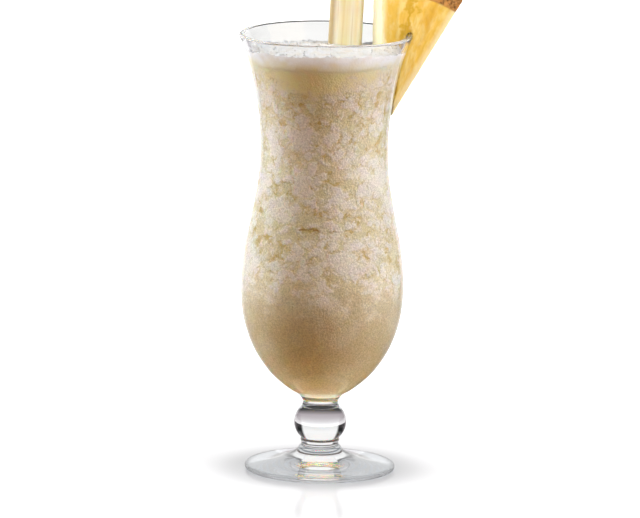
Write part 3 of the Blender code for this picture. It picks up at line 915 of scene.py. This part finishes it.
def eyeRelief(along, across):
    # how far the rind's domed eyes stand out at a place along the rind and across the slice
    best = 0
    for row in range(-1, 2):
        rowCentre = wedge["eyeRowShift"] + row * wedge["eyeRowSpacing"]
        for number in range(-1, 4):
            centre = (number + 0.35 + 0.5 * (row % 2)) * wedge["eyeSpacing"]
            distance = math.hypot(along - centre, across - rowCentre) / (wedge["eyeSpacing"] / 2)
            best = max(best, 1 - distance**2)
    return wedge["eyeRelief"] * math.sqrt(best)


def wedgePlacement():
    turn = wedge["turn"]
    reach = Vector((math.cos(turn), math.sin(turn), 0)) * wedge["pointReach"]
    return Matrix.Translation(reach + Vector((0, 0, wedge["pointHeight"]))) @ Matrix.Rotation(turn, 4, "Z")


def wedgeSector():
    bm = bmesh.new()
    bmesh.ops.create_cube(bm, size=2)
    bmesh.ops.subdivide_edges(bm, edges=bm.edges[:], cuts=wedge["cuts"], use_grid_fill=True)
    for vertex in bm.verts:
        side, depth, up = vertex.co
        angle = wedge["angle"] * (side + 1) / 2
        across = depth * wedge["thickness"] / 2
        skin = wedge["radius"] + eyeRelief(angle * wedge["radius"], across)
        radius = wedge["pointRadius"] + (skin - wedge["pointRadius"]) * (up + 1) / 2
        vertex.co = Vector((math.sin(angle) * radius, across, math.cos(angle) * radius))
    mesh = bpy.data.meshes.new("pineappleWedge")
    bm.to_mesh(mesh)
    bm.free()
    mesh.transform(wedgePlacement())
    return newObject("pineappleWedge", mesh)


def slitCutter():
    # the wall near the rim with a small gap all round, turned into a closed ring
    gap = wedge["slitGap"]
    low = wedge["slitBottom"]
    high = glass["bowl"][-1][0] * mm
    heights = [low + (high - low) * i / 24 for i in range(24)]
    beadCentre = (glass["rimRadius"] - glass["beadRadius"], glass["rimHeight"] - glass["beadRadius"])
    loop = [(innerRadius(h, gap), h) for h in heights]
    loop += arcPoints(beadCentre, glass["beadRadius"] + gap, 180, 0, 13)
    loop += [(outerRadius(h, gap), h) for h in reversed(heights)]
    mesh = bpy.data.meshes.new("slitCutter")
    edges = [(i, (i + 1) % len(loop)) for i in range(len(loop))]
    mesh.from_pydata([(radius, 0, height) for radius, height in loop], edges, [])
    cutter = newObject("slitCutter", mesh)
    screw = cutter.modifiers.new("turn", "SCREW")
    screw.steps = 144
    screw.render_steps = 144
    screw.use_merge_vertices = True
    screw.merge_threshold = 0.01 * mm
    return asPlainMesh(cutter)


def addFlesh(tree, place):
    # Fibres fan out from the wedge's point: the pattern is laid out by angle, depth and radius.
    # Gives the fan's coordinates in mm, the distance from the point and the fibre strength.
    centre = wedgePlacement().translation
    moved = addNode(tree, "ShaderNodeVectorMath", {0: place, 1: centre}, operation="SUBTRACT").outputs[0]
    turned = addNode(tree, "ShaderNodeVectorRotate", {"Vector": moved, "Angle": -wedge["turn"]},
                     rotation_type="Z_AXIS").outputs[0]
    local = addNode(tree, "ShaderNodeVectorMath", {0: turned, "Scale": 1 / mm}, operation="SCALE").outputs[0]
    axes = addNode(tree, "ShaderNodeSeparateXYZ", {0: local}).outputs
    angle = addNode(tree, "ShaderNodeMath", {0: axes[0], 1: axes[2]}, operation="ARCTAN2").outputs[0]
    flat = addNode(tree, "ShaderNodeCombineXYZ", {0: axes[0], 2: axes[2]}).outputs[0]
    radius = addNode(tree, "ShaderNodeVectorMath", {0: flat}, operation="LENGTH").outputs["Value"]
    round_ = addNode(tree, "ShaderNodeMath", {0: angle, 1: wedge["radius"] / mm / 2},
                     operation="MULTIPLY").outputs[0]
    slow = addNode(tree, "ShaderNodeMath", {0: radius, 1: wedge["fibreStretch"]},
                   operation="MULTIPLY").outputs[0]
    fan = addNode(tree, "ShaderNodeCombineXYZ", {0: round_, 1: axes[1], 2: slow}).outputs[0]
    fibre = addNode(tree, "ShaderNodeTexNoise", {"Vector": fan, "Scale": 1 / wedge["fibreSpacing"],
                                                 "Detail": 3.0, "Roughness": 0.55}).outputs[0]
    return {"fan": fan, "radius": radius, "fibre": fibre, "local": local, "angle": angle}


def makePineapple():
    # Ripe pineapple: wet golden flesh with fibres that fan out from the core, and a rough rind
    made, tree = newMaterial("ripePineapple")
    place = addNode(tree, "ShaderNodeTexCoord").outputs["Object"]
    flesh = addFlesh(tree, place)
    broad = addNode(tree, "ShaderNodeTexNoise", {"Vector": flesh["fan"], "Scale": 1 / wedge["deepSpacing"],
                                                 "Detail": 2.0}).outputs[0]
    pale = addNode(tree, "ShaderNodeMapRange", {"Value": flesh["fibre"], "From Min": 0.4, "From Max": 0.7,
                                                "To Max": 0.7}, interpolation_type="SMOOTHSTEP").outputs[0]
    colour = addNode(tree, "ShaderNodeMix", {0: pale, 6: linearColour(wedge["goldColour"]),
                                             7: linearColour(wedge["paleColour"])},
                     data_type="RGBA").outputs[2]
    deep = addNode(tree, "ShaderNodeMapRange", {"Value": broad, "From Min": 0.5, "From Max": 0.7,
                                                "To Max": 0.75}, interpolation_type="SMOOTHSTEP").outputs[0]
    colour = addNode(tree, "ShaderNodeMix", {0: deep, 6: colour, 7: linearColour(wedge["amberColour"])},
                     data_type="RGBA").outputs[2]
    # a juicy vein near the rind
    wander = addNode(tree, "ShaderNodeTexNoise", {
        "Vector": flesh["local"], "Scale": 1 / wedge["veinWanderSize"], "Detail": 2.0}).outputs[0]
    vein = addNode(tree, "ShaderNodeMath", {0: wander, 1: wedge["veinWander"], 2: flesh["angle"]},
                   operation="MULTIPLY_ADD").outputs[0]
    vein = distanceTo(tree, vein, wedge["veinAngle"] + wedge["veinWander"] / 2)
    vein = addNode(tree, "ShaderNodeMapRange", {"Value": vein, "From Min": 0.045, "From Max": 0.01,
                                                "To Max": 0.85}, interpolation_type="SMOOTHSTEP").outputs[0]
    outer = addNode(tree, "ShaderNodeMapRange", {"Value": flesh["radius"], "From Min": wedge["veinStart"],
                                                 "From Max": wedge["veinFull"]},
                    interpolation_type="SMOOTHSTEP").outputs[0]
    vein = addNode(tree, "ShaderNodeMath", {0: vein, 1: outer}, operation="MULTIPLY").outputs[0]
    colour = addNode(tree, "ShaderNodeMix", {0: vein, 6: colour, 7: linearColour(wedge["veinColour"])},
                     data_type="RGBA").outputs[2]
    # the pale strip along the right edge, and the cream face at the left: painted light, for the light from
    # the left that falls on that face
    inward = addNode(tree, "ShaderNodeMath", {0: wedge["angle"], 1: flesh["angle"]},
                     operation="SUBTRACT").outputs[0]
    inward = addNode(tree, "ShaderNodeMath", {0: inward, 1: flesh["radius"]}, operation="MULTIPLY").outputs[0]
    strip = addNode(tree, "ShaderNodeMapRange", {"Value": inward, "From Min": wedge["edgeStrip"],
                                                 "From Max": 0.6}, interpolation_type="SMOOTHSTEP").outputs[0]
    colour = addNode(tree, "ShaderNodeMix", {0: strip, 6: colour, 7: linearColour(wedge["stripColour"])},
                     data_type="RGBA").outputs[2]
    paintedFaceLight = addNode(tree, "ShaderNodeSeparateXYZ", {0: flesh["local"]}).outputs[0]
    paintedFaceLight = addNode(tree, "ShaderNodeMath", {0: flesh["fibre"], 1: 5.0, 2: paintedFaceLight},
                  operation="MULTIPLY_ADD").outputs[0]
    paintedFaceLight = addNode(tree, "ShaderNodeMapRange", {"Value": paintedFaceLight, "From Min": wedge["paintedFaceLightStart"],
                                               "From Max": wedge["paintedFaceLightFull"]},
                  interpolation_type="SMOOTHSTEP").outputs[0]
    colour = addNode(tree, "ShaderNodeMix", {0: paintedFaceLight, 6: colour, 7: linearColour(wedge["creamColour"])},
                     data_type="RGBA").outputs[2]
    # the rind, brown with dark scales
    scales = addNode(tree, "ShaderNodeTexNoise", {"Vector": flesh["local"], "Scale": 1 / wedge["scaleSize"],
                                                  "Detail": 5.0, "Roughness": 0.7}).outputs[0]
    golden = addNode(tree, "ShaderNodeMapRange", {"Value": scales, "From Min": 0.34, "From Max": 0.62},
                     interpolation_type="SMOOTHSTEP").outputs[0]
    rind = addNode(tree, "ShaderNodeMix", {0: golden, 6: linearColour(wedge["rindDarkColour"]),
                                           7: linearColour(wedge["rindColour"])},
                   data_type="RGBA").outputs[2]
    skin = (wedge["radius"] - wedge["rindDepth"]) / mm
    ragged = addNode(tree, "ShaderNodeMath", {0: scales, 1: wedge["scaleRag"], 2: flesh["radius"]},
                     operation="MULTIPLY_ADD").outputs[0]
    isRind = addNode(tree, "ShaderNodeMapRange", {"Value": ragged, "From Min": skin + 0.8,
                                                  "From Max": skin + 1.6}).outputs[0]
    colour = addNode(tree, "ShaderNodeMix", {0: isRind, 6: colour, 7: rind}, data_type="RGBA").outputs[2]
    rough = addNode(tree, "ShaderNodeMapRange", {"Value": isRind, "To Min": 0.32, "To Max": 0.75}).outputs[0]
    bump = addNode(tree, "ShaderNodeBump", {"Height": flesh["fibre"], "Distance": wedge["fibreBump"],
                                            "Strength": 0.6}).outputs[0]
    shader = addNode(tree, "ShaderNodeBsdfPrincipled", {
        "Base Color": colour, "Roughness": rough, "Specular IOR Level": 0.4, "Subsurface Weight": 0.7,
        "Subsurface Radius": (1.0, 0.8, 0.4), "Subsurface Scale": 1.5 * mm, "Normal": bump})
    addNode(tree, "ShaderNodeOutputMaterial", {"Surface": shader.outputs[0]})
    return made


def buildFleshTree():
    tree = newTree("fleshRelief", {"Relief": "NodeSocketFloat", "Material": "NodeSocketMaterial"})
    given = addNode(tree, "NodeGroupInput").outputs
    place = addNode(tree, "GeometryNodeInputPosition").outputs[0]
    outward = addNode(tree, "GeometryNodeInputNormal").outputs[0]
    flesh = addFlesh(tree, place)
    height = addNode(tree, "ShaderNodeMapRange", {"Value": flesh["fibre"], "From Min": 0.35, "From Max": 0.65,
                                                  "To Min": -1.0, "To Max": 0.0}).outputs[0]
    height = addNode(tree, "ShaderNodeMath", {0: height, 1: given["Relief"]}, operation="MULTIPLY").outputs[0]
    offset = addNode(tree, "ShaderNodeVectorMath", {0: outward, "Scale": height},
                     operation="SCALE").outputs[0]
    raised = addNode(tree, "GeometryNodeSetPosition", {"Geometry": given["Base"], "Offset": offset})
    smooth = addNode(tree, "GeometryNodeSetShadeSmooth", {"Geometry": raised.outputs[0]})
    real = addNode(tree, "GeometryNodeRealizeInstances", {"Geometry": smooth.outputs[0]})
    finished = addNode(tree, "GeometryNodeSetMaterial", {"Geometry": real.outputs[0],
                                                         "Material": given["Material"]})
    addNode(tree, "NodeGroupOutput", {"Geometry": finished.outputs[0]})
    return tree


def makeWedge():
    piece = wedgeSector()
    bevel = piece.modifiers.new("soft edges", "BEVEL")
    bevel.width = wedge["edgeRadius"]
    bevel.segments = 2
    bevel.limit_method = "ANGLE"
    bevel.angle_limit = math.radians(50)
    cutter = slitCutter()
    slit = piece.modifiers.new("slit", "BOOLEAN")
    slit.operation = "DIFFERENCE"
    slit.solver = "EXACT"
    slit.object = cutter
    remesh = piece.modifiers.new("even faces", "REMESH")
    remesh.mode = "VOXEL"
    remesh.voxel_size = wedge["voxel"]
    asPlainMesh(piece)
    bpy.data.objects.remove(cutter)
    applyTree(piece, buildFleshTree(), {"Relief": wedge["fibreRelief"], "Material": makePineapple()})
    dress(piece, "pineapple_wedge")


# Stage: a pale floor, soft studio light and the photograph's camera

stage = {
    "floorSize": 8.0,
    "floorColour": "#d4d4d4",
    "shadowStart": 35 * mm,  # painted shadow: the floor glows more and more away from the foot, where its shadow lies
    "shadowReach": 59 * mm,
    "nearGlow": 0.29,  # weak enough for the faint mirror image of the stem
    "farGlow": 1.0,
    "farStart": 100 * mm,  # the floor's far glow grows from here
    "farFull": 300 * mm,
    "backdropHalfWidth": 34,  # degrees of white wall behind the glass, seen from it
    "backdropEdge": 3,  # degrees to both sides over which it ends
    "wallFoot": 0.86,  # how light the wall is low down, against 1 higher up
    "wallFootTop": 8,  # degrees
    "darkRise": 14,  # degrees above the table up to which the room beside the wall is dark
    "lightRise": 66,  # degrees above which it is light
    "ceilingRise": 55,  # degrees above which the dark ceiling starts
    "ceilingEdge": 8,
    "dark": 0.012,
    "light": 0.42,
    "farFloor": "#d4d3d6",  # the table behind the glass, as the clear glass shows it
    "sideFloor": "#9c9297",  # beside the wall
    "nearFloor": "#988d93",  # painted shade round the foot, seen only through the glass
    "edgeFloor": "#23282d",  # painted dark floor beside the foot's edge, seen only through the glass, which draws the foot's dark outline
    "footFloor": "#d6d8db",  # under the foot
    "stemFloor": "#6b6058",  # under the stem
    "steepFloor": "#020202",  # where the rim looks steeply down, which draws its dark line
    "lostColour": "#b2b7bc",  # what light shows that has turned inside the glass many times
    "lostLight": 0.5,
    "lostStart": 5,  # turns inside the glass
    "lostFull": 7,
    "plainGlow": 0.5,
    "sheen": 2.2,  # the table far to the left and right, mirrored faintly along the bowl's sides
    "sheenStart": 58,  # degrees from straight behind the glass
    "sheenFull": 72,
    "sheenFading": 108,
    "sheenEnd": 124,
    "sheenReach": 250 * mm,
    "sheenFullReach": 450 * mm,
    "roomColour": "#5c4c2a",  # what the rest of the room adds to the light on the drink
}


def turnFromBehind(tree, x, y):
    # the angle, in degrees, between straight behind the glass and this direction
    side = addNode(tree, "ShaderNodeMath", {0: x}, operation="ABSOLUTE").outputs[0]
    turn = addNode(tree, "ShaderNodeMath", {0: side, 1: y}, operation="ARCTAN2").outputs[0]
    return addNode(tree, "ShaderNodeMath", {0: turn}, operation="DEGREES").outputs[0]


def makeFloor():
    bm = bmesh.new()
    bmesh.ops.create_grid(bm, x_segments=8, y_segments=8, size=stage["floorSize"] / 2)
    mesh = bpy.data.meshes.new("paleFloor")
    bm.to_mesh(mesh)
    bm.free()
    floor = newObject("paleFloor", mesh)
    floor.data.transform(Matrix.Translation((0, 0, -0.05 * mm)))
    # White acrylic sheet which mirrors faintly. Its glow is painted light, weaker round the foot as a painted
    # shadow. The clear glass shows it greyer round the foot and beside the backdrop. It throws no light at
    # the drink: the fill lamps do.
    made, tree = newMaterial("whiteAcrylicSheet")
    place = addNode(tree, "ShaderNodeTexCoord").outputs["Object"]
    reach = addNode(tree, "ShaderNodeVectorMath", {0: place}, operation="LENGTH").outputs["Value"]
    axes = addNode(tree, "ShaderNodeSeparateXYZ", {0: place}).outputs
    turn = turnFromBehind(tree, axes[0], axes[1])
    half = stage["backdropHalfWidth"]
    edge = stage["backdropEdge"]
    slant = addNode(tree, "ShaderNodeLayerWeight", {"Blend": 0.5}).outputs["Facing"]
    path = addNode(tree, "ShaderNodeLightPath").outputs
    behind = addNode(tree, "ShaderNodeMapRange", {"Value": turn, "From Min": 60, "From Max": 40,
                                                  "To Max": 0.1}).outputs[0]
    sideReach = addNode(tree, "ShaderNodeMath", {0: reach, 1: behind}, operation="ADD").outputs[0]
    # only the clear glass sees these colours: painted shade round the foot and beside its edge, and a painted
    # dark patch where the rim looks steeply down
    # each zone's measure, and where it starts and is full
    zones = {
        "farFloor": (reach, 600 * mm, 300 * mm),
        "sideFloor": (turn, half - edge, half + edge),
        "nearFloor": (reach, 230 * mm, 50 * mm),
        "steepFloor": (slant, 0.65, 0.5),
        "edgeFloor": (sideReach, 64 * mm, 50 * mm),
        "footFloor": (reach, 34 * mm, 31 * mm),
        "stemFloor": (reach, 25 * mm, 21 * mm),
        "lostColour": (path["Ray Depth"], stage["lostStart"], stage["lostFull"]),
    }
    seen = linearColour("#ffffff")
    for name, (value, start, end) in zones.items():
        share = addNode(tree, "ShaderNodeMapRange", {"Value": value, "From Min": start,
                                                     "From Max": end}).outputs[0]
        seen = addNode(tree, "ShaderNodeMix", {0: share, 6: seen, 7: linearColour(stage[name])},
                       data_type="RGBA").outputs[2]
    seen = addNode(tree, "ShaderNodeMix", {0: path["Is Singular Ray"], 6: linearColour("#ffffff"), 7: seen},
                   data_type="RGBA").outputs[2]
    colour = addNode(tree, "ShaderNodeMix", {0: 1.0, 6: linearColour(stage["floorColour"]), 7: seen},
                     data_type="RGBA", blend_type="MULTIPLY").outputs[2]
    # painted shadow: the floor's glow is weaker near the foot
    glow = addNode(tree, "ShaderNodeMapRange", {
        "Value": reach, "From Min": stage["shadowStart"], "From Max": stage["shadowReach"],
        "To Max": stage["nearGlow"]}, interpolation_type="SMOOTHSTEP").outputs[0]
    farther = addNode(tree, "ShaderNodeMapRange", {
        "Value": reach, "From Min": stage["farStart"], "From Max": stage["farFull"],
        "To Max": stage["farGlow"]}).outputs[0]
    glow = addNode(tree, "ShaderNodeMath", {0: glow, 1: farther}, operation="ADD").outputs[0]
    # far to the left and right it is brighter, as the bowl's sides mirror it
    beside = addNode(tree, "ShaderNodeMapRange", {"Value": turn, "From Min": stage["sheenStart"],
                                                  "From Max": stage["sheenFull"]}).outputs[0]
    ahead = addNode(tree, "ShaderNodeMapRange", {
        "Value": turn, "From Min": stage["sheenFading"], "From Max": stage["sheenEnd"],
        "To Min": 1, "To Max": 0}).outputs[0]
    far = addNode(tree, "ShaderNodeMapRange", {"Value": reach, "From Min": stage["sheenReach"],
                                               "From Max": stage["sheenFullReach"]}).outputs[0]
    sheen = addNode(tree, "ShaderNodeMath", {0: beside, 1: far}, operation="MULTIPLY").outputs[0]
    sheen = addNode(tree, "ShaderNodeMapRange", {"Value": sheen, "To Min": stage["plainGlow"],
                                                 "To Max": stage["sheen"]}).outputs[0]
    sheen = addNode(tree, "ShaderNodeMath", {0: sheen, 1: ahead}, operation="MULTIPLY").outputs[0]
    glow = addNode(tree, "ShaderNodeMix", {0: path["Is Singular Ray"], 2: glow, 3: sheen}).outputs[0]
    shown = addNode(tree, "ShaderNodeMath", {0: 1.0, 1: path["Is Diffuse Ray"]},
                    operation="SUBTRACT").outputs[0]
    glow = addNode(tree, "ShaderNodeMath", {0: glow, 1: shown}, operation="MULTIPLY").outputs[0]
    shader = addNode(tree, "ShaderNodeBsdfPrincipled", {
        "Base Color": colour, "Roughness": 0.13, "Specular IOR Level": 0.35,
        "Emission Color": seen, "Emission Strength": glow})
    addNode(tree, "ShaderNodeOutputMaterial", {"Surface": shader.outputs[0]})
    made.cycles.emission_sampling = "NONE"
    floor.data.materials.append(made)


def makeWorld():
    # A white backdrop. The clear glass also shows the room beside it: dark low down, light higher up.
    world = bpy.data.worlds.new("studio")
    bpy.context.scene.world = world
    world.use_nodes = True
    tree = world.node_tree
    tree.nodes.clear()
    way = addNode(tree, "ShaderNodeTexCoord").outputs["Generated"]
    axes = addNode(tree, "ShaderNodeSeparateXYZ", {0: way}).outputs
    turn = turnFromBehind(tree, axes[0], axes[1])
    half = stage["backdropHalfWidth"]
    edge = stage["backdropEdge"]
    wall = addNode(tree, "ShaderNodeMapRange", {"Value": turn, "From Min": half + edge,
                                                "From Max": half - edge}).outputs[0]
    rise = addNode(tree, "ShaderNodeMath", {0: axes[2]}, operation="ARCSINE").outputs[0]
    rise = addNode(tree, "ShaderNodeMath", {0: rise}, operation="DEGREES").outputs[0]
    room = addNode(tree, "ShaderNodeMapRange", {
        "Value": rise, "From Min": stage["darkRise"], "From Max": stage["lightRise"],
        "To Min": stage["dark"], "To Max": stage["light"]}, interpolation_type="SMOOTHSTEP").outputs[0]
    foot = addNode(tree, "ShaderNodeMapRange", {"Value": rise, "From Max": stage["wallFootTop"],
                                                "To Min": stage["wallFoot"], "To Max": 1}).outputs[0]
    wall = addNode(tree, "ShaderNodeMath", {0: wall, 1: foot}, operation="MULTIPLY").outputs[0]
    level = addNode(tree, "ShaderNodeMath", {0: wall, 1: room}, operation="MAXIMUM").outputs[0]
    ceiling = addNode(tree, "ShaderNodeMapRange", {
        "Value": rise, "From Min": stage["ceilingRise"],
        "From Max": stage["ceilingRise"] + stage["ceilingEdge"],
        "To Min": 1, "To Max": stage["dark"]}).outputs[0]
    level = addNode(tree, "ShaderNodeMath", {0: level, 1: ceiling}, operation="MULTIPLY").outputs[0]
    path = addNode(tree, "ShaderNodeLightPath").outputs
    lost = addNode(tree, "ShaderNodeMapRange", {"Value": path["Ray Depth"], "From Min": stage["lostStart"],
                                                "From Max": stage["lostFull"]}).outputs[0]
    level = addNode(tree, "ShaderNodeMix", {0: lost, 2: level, 3: stage["lostLight"]}).outputs[0]
    level = addNode(tree, "ShaderNodeMix", {0: path["Is Singular Ray"], 2: 1.0, 3: level}).outputs[0]
    seen = addNode(tree, "ShaderNodeMath", {0: path["Is Camera Ray"], 1: path["Is Singular Ray"]},
                   operation="MAXIMUM").outputs[0]
    seen = addNode(tree, "ShaderNodeMath", {0: path["Is Glossy Ray"], 1: seen},
                   operation="MAXIMUM").outputs[0]
    # the drink gets the rest of the room's light
    colour = addNode(tree, "ShaderNodeMix", {0: seen, 6: linearColour(stage["roomColour"]), 7: level},
                     data_type="RGBA").outputs[2]
    light = addNode(tree, "ShaderNodeBackground", {"Color": colour})
    addNode(tree, "ShaderNodeOutputWorld", {"Surface": light.outputs[0]})


def placeLamp(name, data, middle, turn, rise, distance):
    # aims a lamp at a place; turn is in degrees from the front, towards the right
    turn = math.radians(turn)
    rise = math.radians(rise)
    away = Vector((math.sin(turn) * math.cos(rise), -math.cos(turn) * math.cos(rise), math.sin(rise)))
    data.cycles.use_multiple_importance_sampling = False
    lamp = newObject(name, data)
    lamp.location = Vector(middle) + away * distance
    lamp.rotation_euler = away.to_track_quat("Z", "Y").to_euler()
    lamp.visible_camera = False
    lamp.visible_glossy = False  # no bright windows mirrored in the glass
    lamp.visible_transmission = False


def addSoftbox(name, place, size, power, colour="#ffffff", middle=(0, 0, 0.12)):
    # place is the lamp's turn, rise and distance
    data = bpy.data.lights.new(name, "AREA")
    data.shape = "RECTANGLE"
    data.size, data.size_y = size
    data.energy = power
    data.color = linearColour(colour)[:3]
    placeLamp(name, data, middle, *place)


def addSnoot(name, place, reach, power, middle):
    # a narrow round light on the cane and the wedge, which stops at the glass's rim
    data = bpy.data.lights.new(name, "SPOT")
    data.energy = power
    data.spot_size = 2 * math.atan(reach / place[2])
    data.spot_blend = 0.35
    data.shadow_soft_size = 0.03
    placeLamp(name, data, middle, *place)


def makeLights():
    addSoftbox("leftSoftbox", (-101, 10, 1.1), (0.8, 1.2), 24, "#f2f7ff")
    addSoftbox("rightSoftbox", (71, 15, 1.1), (0.8, 1.2), 17.5, "#f4f6ff")
    addSoftbox("topSoftbox", (0, 80, 1.2), (0.7, 0.7), 6)
    addSoftbox("warmReflector", (-4, 0, 1.5), (1.4, 0.24), 2.7, "#ff9c38")
    addSoftbox("tableBounce", (0, -90, 0), (1.2, 1.1), 1.4, "#ffc67c", (0, -0.35, 0.0005))
    addSoftbox("footBounce", (0, -90, 0), (0.07, 0.07), 0.03, "#fff4e0", (0, 0, 0.0006))
    addSnoot("garnishLight", (12, 20, 1.5), 0.055, 33.5, (0.02, 0, 0.252))


def makeCamera():
    distance = 3.5
    elevation = math.radians(10.6)
    roll = math.radians(0.85)
    target = Vector((-1.2, 0, 99.0)) * mm
    pixel = 0.4638 * mm  # width of one pixel of the photograph at the glass
    back = Vector((0, -math.cos(elevation), math.sin(elevation)))
    data = bpy.data.cameras.new("photoCamera")
    data.sensor_width = 36
    data.lens = data.sensor_width * distance / (640 * pixel)
    data.clip_end = 50
    camera = newObject("photoCamera", data)
    turn = back.to_track_quat("Z", "Y").to_matrix().to_4x4()
    camera.matrix_world = Matrix.Translation(target + back * distance) @ turn @ Matrix.Rotation(roll, 4, "Z")
    bpy.context.scene.camera = camera


makeGlass()
makeLiquid()
makeSlush()
makeFroth()
makeCane()
makeWedge()
print("pieces made")
makeFloor()
makeWorld()
makeLights()
makeCamera()
scene = bpy.context.scene
scene.view_settings.view_transform = "Standard"
scene.cycles.caustics_reflective = False
scene.cycles.caustics_refractive = False
scene.cycles.max_bounces = 32
scene.cycles.glossy_bounces = 32
scene.cycles.transmission_bounces = 32
scene.cycles.transparent_max_bounces = 32
print("stage set")
